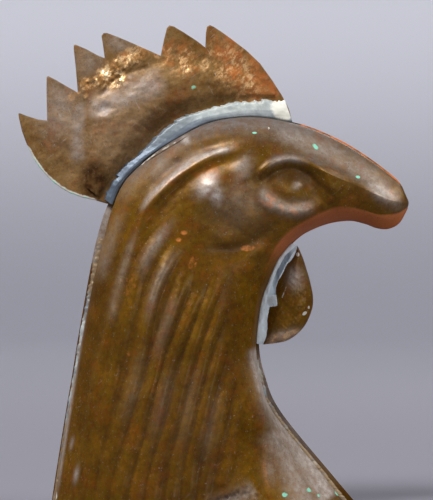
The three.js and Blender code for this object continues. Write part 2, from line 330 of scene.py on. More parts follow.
@dataclass(frozen=True)
class Spot:
    """A mark on the metal: what it is, its centre, half sizes, turn in degrees and strength."""

    mark: Mark
    centre: Point
    half: Point
    strength: float = 1.0
    turn: float = 0.0

    def mask(self, points: Array, depth: Array | None = None) -> Array:
        """Return how strongly the spot covers each point, from 0 to its strength.

        Args:
            points: (n, 2) points on the squared sheet.
            depth: height of each point in squares, for a mark that follows the relief.

        Returns:
            The mask at each point.
        """
        reach = Bump(self.centre, self.half, 1.0, self.turn).reach(points)
        if depth is not None:
            own = depth[np.argmin(reach)]
            reach = np.hypot(reach, (depth - own) / max(self.half))
        if self.mark is Mark.FILM_AND_HIGHLIGHT:
            return self.strength * np.exp(-1.6 * reach**2)
        return self.strength * (1 - smooth(reach, 0.45, 1.25))


@dataclass(frozen=True)
class Line:
    """A mark drawn along a path: its half width in squares, its strength and the share fading at each end."""

    mark: Mark
    path: Path
    half: float
    strength: float = 1.0
    fade: float = 0.0

    def mask(self, points: Array, depth: Array | None = None) -> Array:
        """Return how strongly the line covers each point, from 0 to its strength.

        Args:
            points: (n, 2) points on the squared sheet.
            depth: height of each point in squares, for a mark that follows the relief.

        Returns:
            The mask at each point.
        """
        gap, share = near_path(points, self.path, 1.8 * self.half)
        if depth is not None:
            feet = spline(self.path, np.linspace(0, 1, 2 * len(self.path)))
            own = [depth[np.argmin(np.sum((points - foot) ** 2, 1))] for foot in feet]
            gap = np.hypot(gap, 0.7 * (depth - np.interp(share, np.linspace(0, 1, len(own)), own)))
        soft = self.mark is Mark.FILM_AND_HIGHLIGHT
        fall = np.exp(-1.6 * (gap / self.half) ** 2) if soft else 1 - smooth(gap / self.half, 0.4, 1.3)
        return self.strength * fall * fading(share, self.fade, self.fade)


def painted(points: Array, marks: Sequence[Spot | Line], depth: Array | None = None) -> dict[str, Array]:
    """Return one attribute for each kind of mark, the strongest mark winning at each point.

    Args:
        points: (n, 2) points on the squared sheet.
        marks: spots and lines.
        depth: height of each point in squares, so that a small mark isn't drawn out down a steep place.

    Returns:
        The attributes by name.
    """
    masks = {kind.value: np.zeros(len(points)) for kind in Mark}
    for mark in marks:
        name = mark.mark.value
        masks[name] = np.maximum(masks[name], mark.mask(points, None if mark.mark is Mark.FILM_AND_HIGHLIGHT else depth))
    return masks


def spots(mark: Mark, *rows: tuple[float, ...]) -> list[Spot]:
    """Return spots of one kind from rows of centre, half sizes, strength and turn."""
    return [Spot(mark, row[:2], row[2:4], *row[4:]) for row in rows]


def lines(mark: Mark, *rows: tuple[Path, float, float, float]) -> list[Line]:
    """Return lines of one kind from rows of path, half width, strength and faded share."""
    return [Line(mark, *row) for row in rows]


def to_world(points: Array) -> tuple[Array, Array]:
    """Return x and z in metres of points on the squared sheet.

    Args:
        points: grid or list of points on the squared sheet.

    Returns:
        The two coordinates.
    """
    x = (points[..., 0] - SHEET_MIDDLE) * SQUARE * MM
    z = (SHEET_BOTTOM - points[..., 1]) * SQUARE * MM
    return x, z


@dataclass
class Relief:
    """A grid of sheet points with heights, closed by a flat back, that becomes one solid mesh.

    Attributes:
        points: (m, n, 2) points on the squared sheet.
        height: (m, n) heights above the seam plane in millimetres.
        side: side of the seam plane.
        back: height of the flat back in millimetres.
    """

    points: Array
    height: Array
    side: Side
    back: float = 0.0

    def mesh(self, name: str, masks: dict[str, Array]) -> bpy.types.Object:
        """Build the closed mesh.

        Args:
            name: name of the new object.
            masks: attributes with one value for each grid point.

        Returns:
            The new object, linked to the scene.
        """
        m, n = self.height.shape
        x, z = to_world(self.points)
        front = np.stack([x, self.side.value * self.height * MM, z], -1).reshape(-1, 3)
        ring = np.concatenate(
            [
                np.arange(n),
                np.arange(1, m) * n + n - 1,
                (m - 1) * n + np.arange(n - 2, -1, -1),
                np.arange(m - 2, 0, -1) * n,
            ]
        )
        behind = front[ring].copy()
        behind[:, 1] = self.side.value * self.back * MM
        first = m * n
        twin = {int(index): first + k for k, index in enumerate(ring)}
        a = (np.arange(m - 1)[:, None] * n + np.arange(n - 1)[None, :]).ravel()
        faces = np.stack([a, a + 1, a + n + 1, a + n], -1).tolist()
        following = np.roll(ring, -1)
        for k, (index, after) in enumerate(zip(ring.tolist(), following.tolist())):
            faces.append([index, first + k, twin[after], after])
        for i in range(m - 1):
            start, end = i * n, i * n + n - 1
            if i == 0:
                faces.append([twin[end], *(twin[j] for j in range(end - 1, -1, -1)), twin[n], twin[n + end]])
            elif i < m - 2:
                faces.append([twin[start], twin[start + n], twin[end + n], twin[end]])
            else:
                faces.append([twin[end], twin[start], *(twin[start + n + j] for j in range(n))])
        values = {key: np.concatenate([mask, mask[ring]]) for key, mask in masks.items()}
        return make_object(name, np.concatenate([front, behind]), faces, values)


def make_object(
    name: str, vertices: Array, faces: Sequence[Sequence[int]], masks: dict[str, Array]
) -> bpy.types.Object:
    """Make a mesh object with outward faces, soft shading and vertex attributes.

    Args:
        name: name of the object and its mesh.
        vertices: (n, 3) places in metres.
        faces: corners of each face.
        masks: attributes with one value for each vertex.

    Returns:
        The new object, linked to the scene.
    """
    mesh = bpy.data.meshes.new(name)
    mesh.from_pydata(vertices.tolist(), [], faces)
    mesh.update()
    mesh.calc_loop_triangles()
    corners = np.empty(len(mesh.loop_triangles) * 3, np.int32)
    mesh.loop_triangles.foreach_get("vertices", corners)
    a, b, c = vertices[corners.reshape(-1, 3)].transpose(1, 0, 2)
    if np.einsum("ij,ij->", a, np.cross(b, c)) < 0:
        mesh.flip_normals()
    for key, values in masks.items():
        attribute = mesh.attributes.new(key, "FLOAT", "POINT")
        attribute.data.foreach_set("value", np.asarray(values, np.float32))
    mesh.polygons.foreach_set("use_smooth", np.ones(len(mesh.polygons), bool))
    mesh.set_sharp_from_angle(angle=math.radians(SHARP_ANGLE))
    made = bpy.data.objects.new(name, mesh)
    bpy.context.scene.collection.objects.link(made)
    return made


# Stations cross the bird from back to front: up the neck from the underside, then out along the beak.
BACK: Path = (
    (50.5, 510), (55.5, 476), (65.8, 412), (72, 376), (77, 344), (84, 304), (90, 271), (97, 238),
    (108, 204), (125, 178.5), (154, 153), (183, 134.5), (209, 122.5), (238, 117.3), (267, 118), (304, 125),
    (339, 139.5), (365, 155), (385, 169.5), (400, 182.5), (410, 196.5),
)
FRONT: Path = (
    (362, 510), (334, 477), (281, 412), (265, 376), (259, 344), (262, 304), (269.5, 281), (277, 263),
    (281, 257), (285.5, 251), (292, 244), (303, 234.7), (315, 228.6), (326, 224.5), (338, 221.8),
    (352, 221), (366, 224.3), (377, 228.3), (388, 229), (399, 224), (409.5, 213),
)
TURN: Path = (
    (272, 510), (261, 476), (262, 412), (257, 376), (250, 342), (255, 301), (259, 281), (266, 264),
    (271, 253), (275, 246), (283, 236), (294, 227), (306, 220), (319, 213.5), (334, 208), (350, 208),
    (364, 211), (376, 214.5), (387, 214.5), (398, 212.5), (408, 207),
)
BACK_FLANGE = (4, 3.5, 3, 3.5, 4, 5, 6, 7, 6, 2, 1, 1, 1, 1, 1, 2.5, 2.5, 2.5, 2.5, 2, 1.5)
FRONT_FLANGE = (13, 9.5, 8, 5, 3, 1.2) + (1,) * 15
LAST = len(BACK) - 1
THROAT = 4
NAPE = 8
COMB_END = 14 + 2 / 3
WATTLE_TOP = 10


@dataclass(frozen=True)
class Crossing:
    """Points of many stations on the squared sheet, as (n, 2) arrays."""

    station: Array
    back: Array
    front: Array
    turn: Array
    back_rim: Array
    front_rim: Array

    @classmethod
    def at(cls, station: Array) -> "Crossing":
        """Return the crossing points at the given stations.

        Args:
            station: stations along the body.

        Returns:
            The points of every station.
        """
        t = station / LAST
        back, front, turn = spline(BACK, t), spline(FRONT, t), spline(TURN, t)
        inward = turn - back
        outward = turn - front
        inward /= np.linalg.norm(inward, axis=1, keepdims=True)
        outward /= np.linalg.norm(outward, axis=1, keepdims=True)
        whole = np.arange(LAST + 1)
        back_gap = np.interp(station, whole, BACK_FLANGE)[:, None]
        front_gap = np.interp(station, whole, FRONT_FLANGE)[:, None]
        return cls(station, back, front, turn, back + inward * back_gap, front + outward * front_gap)


@dataclass
class BodyHalf:
    """One pressed half of head, neck and breast.

    Attributes:
        side: side of the seam plane.
        rows: stations along the bird.
        columns: columns from the back rim to the turn.
        far_rows, far_columns: the same on the far half.
        turn_columns: columns from the turn to the front rim.
        rim: upright edge at the seam, in millimetres.
        crest_rim: the same edge under the comb.
        lip: thickness of the far half's flange.
        fullest, beak_fullest: share of the way across where neck and beak are deepest.
        fall_power: how late the side falls from there to the turn, at some stations.
        cord_share: height of the hackle cords against their drawn height.
        tip_start, tip_round: station where the beak's end starts to round, and how far its corners draw back.
        edge_shares, edge_lift: extra columns of the rounded sheet edge, and the share of their height.
        turn_share: share of the full depth left at the turn, at some stations.
        pace: how fast the rows follow one another, at some stations.
    """

    side: Side
    rows: int = 380
    columns: int = 200
    far_rows: int = 266
    far_columns: int = 140
    turn_columns: int = 26
    rim: float = 2.2
    crest_rim: float = 4.6
    lip: float = 1.0
    underside_depth: float = 64
    throat_depth: float = 52
    cheek_depth: float = 45
    brow_depth: float = 36
    beak_root_depth: float = 25
    beak_tip_depth: float = 9
    fullest: float = 0.5
    beak_fullest: float = 0.64
    fall_power: tuple[tuple[float, float], ...] = ((0, 4.5), (5, 4.2), (9, 2.2), (14, 1.7), (LAST, 1.7))
    cord_share: float = 1.1
    tip_start: float = 18.6
    tip_round: float = 5.0
    edge_shares: tuple[float, ...] = (0, 0, 0.0015, 0.004, 0.008, 0.013)
    edge_lift: tuple[float, ...] = (0.0, 0.62, 0.9, 1.0, 1.0, 1.0)
    turn_share: tuple[tuple[float, float], ...] = (
        (0, 0.88), (2, 0.7), (THROAT, 0.55), (NAPE, 0.55), (13, 0.6), (LAST, 0.75),
    )
    pace: tuple[tuple[float, float], ...] = (
        (0, 2.4), (THROAT, 2.0), (6, 1.5), (NAPE, 1.4), (14, 1.4), (17, 1.1), (LAST, 0.9),
    )

    def depths(self) -> list[tuple[float, float]]:
        """Return the bird's depth at some stations.

        Returns:
            Pairs of a station and the depth from side to side in millimetres.
        """
        return [
            (0, self.underside_depth),
            (THROAT, self.throat_depth),
            (NAPE, self.cheek_depth),
            (12, self.cheek_depth - 2),
            (14, self.brow_depth),
            (16, self.beak_root_depth),
            (LAST, self.beak_tip_depth),
        ]

    def side_height(self, station: Array, share: Array) -> Array:
        """Return the plain side's height at shares from the back rim (0) to the turn (1).

        Args:
            station: station of each place.
            share: share of the way of each place.

        Returns:
            The heights in millimetres.
        """
        crown = eased(self.depths(), station) / 2
        rim = eased(
            [(0, self.rim), (7, self.rim), (NAPE, self.crest_rim), (COMB_END, self.crest_rim), (16, self.rim),
             (LAST, self.rim)],
            station,
        )
        beak = smooth(station, 13.5, 15.5)
        fullest = self.fullest + (self.beak_fullest - self.fullest) * beak
        climb = 1 - np.clip(share / fullest, 0, 1)
        rise = (1 - beak) * (1 - climb**2.4) ** (1 / 2.1) + beak * (1 - climb) ** 0.72
        fall = np.clip((share - fullest) / (1 - fullest), 0, 1) ** eased(self.fall_power, station)
        return rim + (crown - rim) * rise * (1 - (1 - eased(self.turn_share, station)) * fall)

    def hackles(self) -> list[Stroke]:
        """Return the hackle feathers: a long ridge from the brow, then round cords down the neck.

        Returns:
            The strokes, in order from the back of the neck to the throat.
        """
        first = Stroke(
            ((252, 147), (230, 151), (210, 159), (190, 170), (172.5, 182.5), (157.5, 197.5), (145, 212.5),
             (137, 236), (129, 262), (119, 290), (110, 330), (98, 380), (90, 430), (82, 480), (79, 510)),
            5.5, 1.15, (0.12, 0.4),
        )
        others: list[tuple[Path, float, float]] = [
            (((182, 210), (169, 229), (157, 243), (147, 259), (139, 276), (132, 304), (123, 336),
              (113, 376), (103, 420), (94, 460), (88, 510)), 8.5, 1.2),
            (((192, 232), (180, 246), (168, 264), (157, 288), (149, 316), (143, 350), (134, 382),
              (121, 424), (109, 464), (103, 510)), 8.5, 1.55),
            (((197, 257), (189, 268), (181, 290), (172, 316), (163, 344), (155, 376), (146, 404),
              (135, 440), (122, 480), (117, 510)), 8.5, 1.5),
            (((209, 272), (202, 286), (193, 308), (184, 330), (175, 352), (166, 382), (158, 416),
              (149, 448), (140, 480), (135, 510)), 8.0, 1.35),
            (((224, 262), (216, 284), (207, 308), (199, 332), (192, 352), (184, 380), (177, 408),
              (167, 440), (157, 472), (152, 510)), 8.0, 1.3),
            (((227, 292), (217, 320), (208, 346), (200, 378), (192, 404), (185, 432), (177, 460),
              (171, 510)), 7.5, 1.2),
            (((227, 326), (221, 348), (213, 376), (206, 402), (199, 432), (192, 462), (187, 510)), 7.5, 1.1),
            (((231, 362), (227, 386), (220, 416), (213, 446), (206, 476), (203, 500)), 7.5, 1.0),
            (((240, 390), (237, 420), (230, 450), (222, 480)), 7.5, 0.7),
        ]
        return [first, *(Stroke(path, half, rise, (0.22, 0.02)) for path, half, rise in others)]

    def head_relief(self) -> list[Stroke | Bump]:
        """Return the carving of cheek, brow, eye and beak.

        Returns:
            The strokes and bumps.
        """
        return [
            Stroke(((256, 142), (238, 143), (216, 147), (195, 152), (181, 161), (166, 173), (152, 186),
                    (142, 196), (133, 212), (126, 228), (120, 244), (114, 262), (108, 284)), 7.5, -0.8,
                    (0.2, 0.3)),
            Stroke(((244, 160), (228, 163), (206, 172), (186, 184), (170, 199), (158, 216), (150, 232)),
                    7.5, -0.9, (0.2, 0.25)),
            Bump((221, 192), (36, 34), 2.2, -20),
            Bump((211, 192), (19, 16), 0.85, -30),
            Bump((245, 171), (20, 14), 0.8, -30),
            Bump((188, 222), (20, 22), 0.8, 30),
            Bump((242, 212), (30, 20), 0.9, 10),
            Stroke(((198, 243), (214, 250), (232, 250), (250, 243), (264, 230), (276, 216)), 9.0, -1.1,
                    (0.3, 0.3)),
            Bump((294, 188), (38, 27), -1.5, 10),
            Stroke(((260, 188), (267, 178), (279, 171), (293, 169.5), (306, 174), (318, 184)), 5.0, -0.9,
                    (0.2, 0.3)),
            Bump((293, 192), (25, 15), 1.3, 12),
            Bump((296, 187.5), (9, 6), 0.4, 12),
            Stroke(((254, 184), (261, 173), (272, 164), (285, 159.5), (298, 160.5), (310, 165), (322, 173),
                    (334, 183)), 4.4, 1.2, (0.15, 0.25)),
            Stroke(((257, 186), (261, 197), (272, 207), (287, 212.5), (303, 212), (317, 206.5), (329, 198)),
                    7.0, 0.95, (0.2, 0.3)),
            Stroke(((304, 172), (315, 183), (325, 192), (333, 199)), 2.6, -0.4),
            Stroke(((308, 163), (322, 167), (341, 175), (366, 189), (388, 202), (402, 205)), 4.5, 0.6,
                    (0.2, 0.1)),
            Bump((178, 161), (6, 4.5), -0.25),
            Bump((186, 143), (6, 6), 0.5, -40),
        ]

    def lower_relief(self) -> list[Stroke | Bump]:
        """Return the step where the hackles end over the breast, and the breast's creases.

        Returns:
            The strokes.
        """
        return [
            Stroke(((188, 505), (206, 494), (225, 485.6), (243, 479.5), (257, 473)), 5.0, 0.3, (0.1, 0.3)),
            Stroke(((192, 511), (210, 500), (228, 491.5), (246, 486), (258, 481)), 5.0, -0.7, (0.1, 0.3)),
            Stroke(((259, 472), (263, 482), (268, 494), (273, 510)), 4.0, -0.5, (0.2, 0.0)),
            Stroke(((253, 352), (257, 384), (261, 416), (263, 448), (260, 474)), 7.0, -0.35, (0.3, 0.3)),
        ]

    def carving(self, points: Array) -> Array:
        """Return the height of all the carving at each point, in millimetres.

        Args:
            points: (n, 2) points on the squared sheet.

        Returns:
            The heights, to be added to the plain side.
        """
        total = sum(shape.height(points) for shape in (*self.head_relief(), *self.lower_relief()))
        first, *others = self.hackles()
        total += first.height(points)
        cords = np.stack([feather.cord(points) for feather in others])
        total += self.cord_share * cords.max(0) * (1 - 0.35 * smooth(points[:, 1], 340, 460))
        total += beaten(points, (0.14, 40, 3), (0.04, 17, 5), (0.012, 7, 8))
        scraped = Line(Mark.SCRAPED, ((196, 514), (218, 503), (238, 494), (254, 487)), 12.0).mask(points)
        total += 0.24 * scraped * unevenness(points, 4.5, 9, 24)
        if self.side is Side.LEFT:
            total += 0.1 * unevenness(points, 27, 11)
        return total

    def marks(self) -> list[Spot | Line]:
        """Return the spots and lines of colour on this half.

        Returns:
            The marks on both halves and those of this half alone.
        """
        shared: list[Spot | Line] = [
            *lines(
                Mark.BARE_AND_HIGHLIGHT,
                (((300, 124), (320, 131), (339, 140), (366, 155.5), (385, 169.5), (400, 183)), 3.0, 0.9),
                (((262, 446), (263, 462), (266, 478), (272, 500)), 4.0, 0.3, 0.3),
                (((276, 244), (269, 258), (263, 274), (258, 292)), 7.0, 0.16, 0.3),
                # painted highlight: the lower lid made lighter where it faces up
                (((258, 186), (263, 197), (273, 204), (288, 209), (303, 208), (318, 201)), 8.0, 0.46, 0.3),
            ),
            # pale lilac patina and painted highlights along the top band, beak, breast, ridge crests, brow,
            # lid and the cords' lit flanks
            *lines(
                Mark.FILM_AND_HIGHLIGHT,
                (((112, 214), (128, 190), (150, 168), (176, 148), (206, 134), (240, 127), (270, 129),
                  (300, 138), (330, 152), (360, 170), (384, 188), (400, 200)), 15.0, 0.16, 0.1),
                (((262, 134), (290, 139), (318, 148), (346, 162), (372, 180), (394, 197)), 12.0, 0.46, 0.2),
                (((263, 352), (271, 392), (287, 426), (308, 462), (330, 500)), 15.0, 0.85, 0.05),
                (((270, 420), (283, 450), (296, 480), (306, 512)), 16.0, 0.56, 0.15),
                (((206, 505), (226, 496), (244, 488), (256, 482)), 11.0, 0.42, 0.1),
                (((140, 216), (151, 198), (166, 184), (181, 171), (196, 161), (216, 154), (242, 149)), 3.6,
                 0.62, 0.15),
                (((264, 171), (273, 163.5), (285, 160), (297, 161.5), (310, 166)), 3.6, 0.7, 0.35),
                (((256, 182), (262, 196), (272, 204), (287, 209.5), (302, 208.5), (318, 201)), 8.5, 0.66,
                 0.3),
                (((182, 215), (168, 229), (156, 246), (146, 264), (139, 284)), 6.0, 0.36, 0.4),
                (((184, 242), (171, 260), (160, 281), (152, 304), (147, 330)), 5.5, 0.28, 0.4),
                (((182, 284), (172, 308), (163, 336), (155, 366)), 6.5, 0.15, 0.4),
                (((134, 240), (126, 266), (118, 296), (112, 330)), 5.5, 0.22, 0.3),
                (((150, 330), (142, 360), (133, 392), (122, 430)), 8.0, 0.1, 0.45),
                (((176, 352), (168, 384), (160, 414), (150, 450)), 8.0, 0.11, 0.45),
                (((200, 352), (193, 384), (186, 420), (177, 460)), 8.0, 0.09, 0.45),
                (((222, 372), (215, 404), (208, 436), (201, 470)), 8.0, 0.1, 0.45),
                (((99, 245), (90, 285), (83, 330), (76, 375), (69, 420), (62, 465), (57, 500)), 2.2, 0.6,
                 0.15),
                (((128, 202), (116, 228), (107, 256), (100, 288)), 8.0, 0.2, 0.3),
                (((141, 224), (131, 250), (124, 278), (119, 304)), 4.5, 0.2, 0.3),
                (((253, 344), (255, 362), (259, 380), (265, 396), (272, 412)), 6.5, 0.9, 0.12),
            ),
            # darker along the step under the hackles' arc; painted shade in the eye socket under the brow and
            # along the lower side of the top band
            *lines(
                Mark.GRIME_AND_SHADE,
                (((200, 512), (216, 503), (236, 495), (254, 488)), 9.0, 0.35, 0.1),
                (((263, 183), (271, 177), (283, 173), (297, 173), (311, 178)), 5.0, 0.3, 0.2),
                (((176, 152), (204, 140), (230, 135), (258, 135)), 9.0, 0.34, 0.3),
            ),
            *lines(Mark.SCRAPED, (((206, 505), (226, 496), (244, 488), (256, 482)), 13.0, 1.0, 0.05)),
            # painted highlights on the cheek, brow, eyeball, beak and a dent, and pale patina on the breast
            *spots(
                Mark.FILM_AND_HIGHLIGHT,
                (270, 466, 10, 18, 0.3, -12), (207, 188, 14, 10, 1.1, -40), (216, 196, 8, 12, 0.95, -10),
                (243, 170, 9, 17, 0.4, 25), (295.5, 186.5, 5.5, 4.5, 0.55, -30),
                (160, 168, 20, 11, 0.3, -45), (381, 193, 22, 9, 0.95, 38), (186, 141, 6, 7, 0.9, -30),
                (241, 167, 12, 8, 0.6, -50), (240, 206, 32, 26, 0.2, -10),
            ),
            # darker front and lower neck, and a painted shadow along the jaw
            *spots(
                Mark.GRIME_AND_SHADE,
                (226, 380, 30, 90, 0.42, 4), (190, 440, 75, 100, 0.4, 12), (116, 400, 44, 120, 0.24, 12),
                (228, 246, 26, 5, 0.35, -4),
            ),
            *spots(Mark.SCRAPED, (68, 456, 12, 34, 0.8, 10), (85, 395, 20, 30, 0.35, 10)),
        ]
        if self.side is Side.LEFT:
            return [
                *shared,
                *lines(Mark.FILM_AND_HIGHLIGHT, (((109, 203), (104, 218), (99, 238), (92, 266)), 4.5, 0.9, 0.1)),
                *lines(
                    Mark.GRIME_AND_SHADE,
                    (((261, 372), (266, 392), (282, 414), (306, 443), (334, 479), (362, 514)), 7.0, 0.6,
                     0.05),
                ),
                *spots(Mark.VERDIGRIS, (262, 140, 3.0, 2.2, 0.8, 20), (300, 488, 3.6, 2.6)),
                *spots(Mark.TIN, (268, 130, 1.2, 3.2, 0.75, 20)),
                *spots(
                    Mark.BARE_AND_HIGHLIGHT,
                    (200, 240, 7, 3.5, 0.7, 12), (150, 330, 5, 8, 0.4, 10), (212, 300, 6, 10, 0.35, 20),
                ),
            ]
        return [
            *shared,
            *spots(
                Mark.VERDIGRIS,
                (253.8, 134.7, 2.4, 1.3), (356.5, 177.7, 3.0, 2.0, 0.9), (314, 147.4, 4.6, 3.6, 0.75, 40),
                (283, 489.5, 3.6, 2.4), (307.4, 487, 3.8, 2.8), (316.5, 493, 3.0, 2.2), (337, 493, 4.0, 2.8),
            ),
            *spots(
                Mark.TIN,
                (268, 130, 1.2, 3.2, 0.75, 20), (269.3, 401.6, 1.4, 3.2, 1.0, -10),
                (57.5, 494, 4.0, 6.0, 1.0, -20),
            ),
            *spots(
                Mark.BARE_AND_HIGHLIGHT,
                (247, 248, 10, 4, 0.55, -4), (185, 233, 4.2, 3.0, 0.95), (179, 240, 3.6, 2.6, 0.85),
                (136, 285, 3.4, 4.4, 0.55), (194, 262, 5.0, 10.0, 0.42, 20), (130, 350, 5.0, 7.0, 0.4, 10),
                (132, 285, 14, 20, 0.3, 10),
            ),
            *spots(Mark.GRIME_AND_SHADE, (178, 161, 5, 3, 0.35)),
            *lines(
                Mark.TIN,
                (((140, 167), (152, 157.5), (166, 148.5), (178, 141.5)), 2.6, 0.6, 0.1),
                (((256.5, 346), (257.5, 362), (260.5, 380), (266, 396), (270, 406)), 2.6, 0.75, 0.12),
            ),
            *lines(
                Mark.GRIME_AND_SHADE,
                (((146, 163.5), (156, 157), (166, 151), (176, 145), (188, 137)), 0.9, 0.95, 0.05),
            ),
            *spots(Mark.FILM_AND_HIGHLIGHT, (79, 470, 3, 9, 0.6, 12), (74, 440, 2.4, 7, 0.5, 12)),
        ]

    def build(self) -> bpy.types.Object:
        """Build this half as a fine closed mesh.

        Returns:
            The finished object, not yet dressed.
        """
        near = self.side is Side.RIGHT
        rows, columns = (self.rows, self.columns) if near else (self.far_rows, self.far_columns)
        even = np.linspace(0, LAST, 400)
        pace = np.interp(even, *zip(*self.pace))
        travel = np.concatenate([[0], np.cumsum(pace[:-1])])
        station = np.interp(np.linspace(0, 1, rows) * travel[-1], travel, even)
        cross = Crossing.at(station)
        share = np.concatenate([self.edge_shares, 0.02 + 0.98 * np.linspace(0, 1, columns) ** 1.15])
        grid_share = np.broadcast_to(share, (rows, len(share)))
        grid_station = np.broadcast_to(station[:, None], grid_share.shape)
        bevel = np.linspace(0, 1, self.turn_columns + 1)[1:]
        turned = between(cross.turn, cross.front_rim, bevel)
        points = np.concatenate([between(cross.back_rim, cross.turn, grid_share), turned], 1)
        carved = self.carving(points.reshape(-1, 2)).reshape(points.shape[:2])
        height = self.side_height(grid_station, grid_share)
        height += carved[:, : len(share)] * smooth(grid_share, 0.015, 0.11)
        height[:, : len(self.edge_lift)] *= self.edge_lift
        edge_height = height[:, -1:]
        slope = edge_height + (self.rim - edge_height) * bevel[None] ** 1.6
        slope += (carved[:, len(share):] - carved[:, len(share) - 1 : len(share)]) * (1 - bevel[None]) * 0.6
        height = np.concatenate([height, slope], 1)
        cap = np.sqrt(1 - np.clip((station - self.tip_start) / (LAST - self.tip_start), 0, 1) ** 2.4)
        height *= np.maximum(cap, 0.12)[:, None]
        if near:
            points = np.concatenate([points, points[:, -1:]], 1)
            height = np.concatenate([height, np.full((rows, 1), THIN)], 1)
            carved = np.concatenate([carved, carved[:, -1:]], 1)
        else:
            points, height = self.with_flange(cross, points, height)
            carved = np.pad(carved, ((0, 0), (4, 4)), mode="edge")
        height = np.clip(height, THIN, CAD_BOX[1].y / MM - THIN)
        points = self.rounded_tip(cross, points)
        flat = points.reshape(-1, 2)
        masks = painted(flat, self.marks(), height.ravel() / SQUARE)
        # groove: darker patina and painted shade in hollows and cord valleys; below, painted shade along the
        # neck's back margin
        masks["groove"] = np.clip(0.5 - carved.ravel() / 3.2 + 0.3 * self.valleys(flat), 0, 1)
        masks["matt"], masks["bevel"], margin = self.turned_masks(points, station)
        masks["groove"] = np.clip(masks["groove"] + 0.15 * margin, 0, 1)
        return Relief(points, height, self.side).mesh(f"{self.side.word}_half_sheet", masks)

    def valleys(self, points: Array) -> Array:
        """Return 1 in the valleys between the hackle cords and 0 on their tops and elsewhere.

        Args:
            points: (n, 2) points on the squared sheet.

        Returns:
            The mask at each point.
        """
        cords = np.stack([feather.cord(points) / feather.rise for feather in self.hackles()[1:]])
        column, row = points.T
        neck = smooth(row, 240, 290) * smooth(column, 60, 110) * (1 - smooth(column, 225, 250))
        return neck * (1 - smooth(cords.max(0), 0.1, 0.8))

    def rounded_tip(self, cross: Crossing, points: Array) -> Array:
        """Draw the corners of the beak's end back, so that the tip is round.

        Args:
            cross: the stations' points.
            points: grid of sheet points.

        Returns:
            The grid with its last rows bent.
        """
        line = cross.front - cross.back
        share = np.einsum("rcj,rj->rc", points - cross.back[:, None], line) / np.sum(line**2, 1)[:, None]
        late = np.clip((cross.station - self.tip_start) / (LAST - self.tip_start), 0, 1) ** 2
        bent = points.copy()
        bent[..., 0] -= self.tip_round * late[:, None] * np.abs(2 * share - 1) ** 2.4
        return bent

    def with_flange(self, cross: Crossing, points: Array, height: Array) -> tuple[Array, Array]:
        """Add the far half's flange outside both rims.

        Args:
            cross: the stations' points.
            points: grid of sheet points.
            height: grid of heights in millimetres.

        Returns:
            The grid and its heights with the flange's columns added.
        """
        lips = [(1.0, THIN), (1.0, 0.6 * self.lip), (0.9, self.lip), (0.4, self.lip)]
        before = [cross.back_rim + (cross.back - cross.back_rim) * out for out, _ in lips]
        after = [cross.front_rim + (cross.front - cross.front_rim) * out for out, _ in reversed(lips)]
        rows = len(points)
        heights = np.array([h for _, h in lips])
        points = np.concatenate([np.stack(before, 1), points, np.stack(after, 1)], 1)
        height = np.concatenate(
            [np.tile(heights, (rows, 1)), np.maximum(height, self.lip), np.tile(heights[::-1], (rows, 1))], 1
        )
        return points, height

    def turned_masks(self, points: Array, station: Array) -> tuple[Array, Array, Array]:
        """Return where the sheet is dull: its steep margins, the nape's band, and under beak and throat.

        Args:
            points: grid of sheet points.
            station: station of each row.

        Returns:
            The dull places, the ruddy strip under beak and throat, and the neck's margin at the back.
        """
        first = points.shape[1] - (1 if self.side is Side.RIGHT else 4) - self.turn_columns
        across = np.arange(points.shape[1])
        turned = np.outer(np.ones(len(station)), smooth(across, first - 4, first + 4))
        from_rim = np.linalg.norm(points - points[:, :1], axis=2)
        neck = (1 - smooth(station, 5.5, 7.5))[:, None]
        margin = neck * (1 - smooth(from_rim, 8, 26))
        front = neck * smooth(across, 0.7 * first, 0.95 * first)[None]
        nape = (smooth(station, 6.0, 8.0) * (1 - smooth(station, 14.0, 16.0)))[:, None]
        matt = np.maximum.reduce([turned, margin, front, nape * (1 - smooth(from_rim, 21, 29))])
        return matt.ravel(), (smooth(station, 5.8, 9.8)[:, None] * turned).ravel(), margin.ravel()


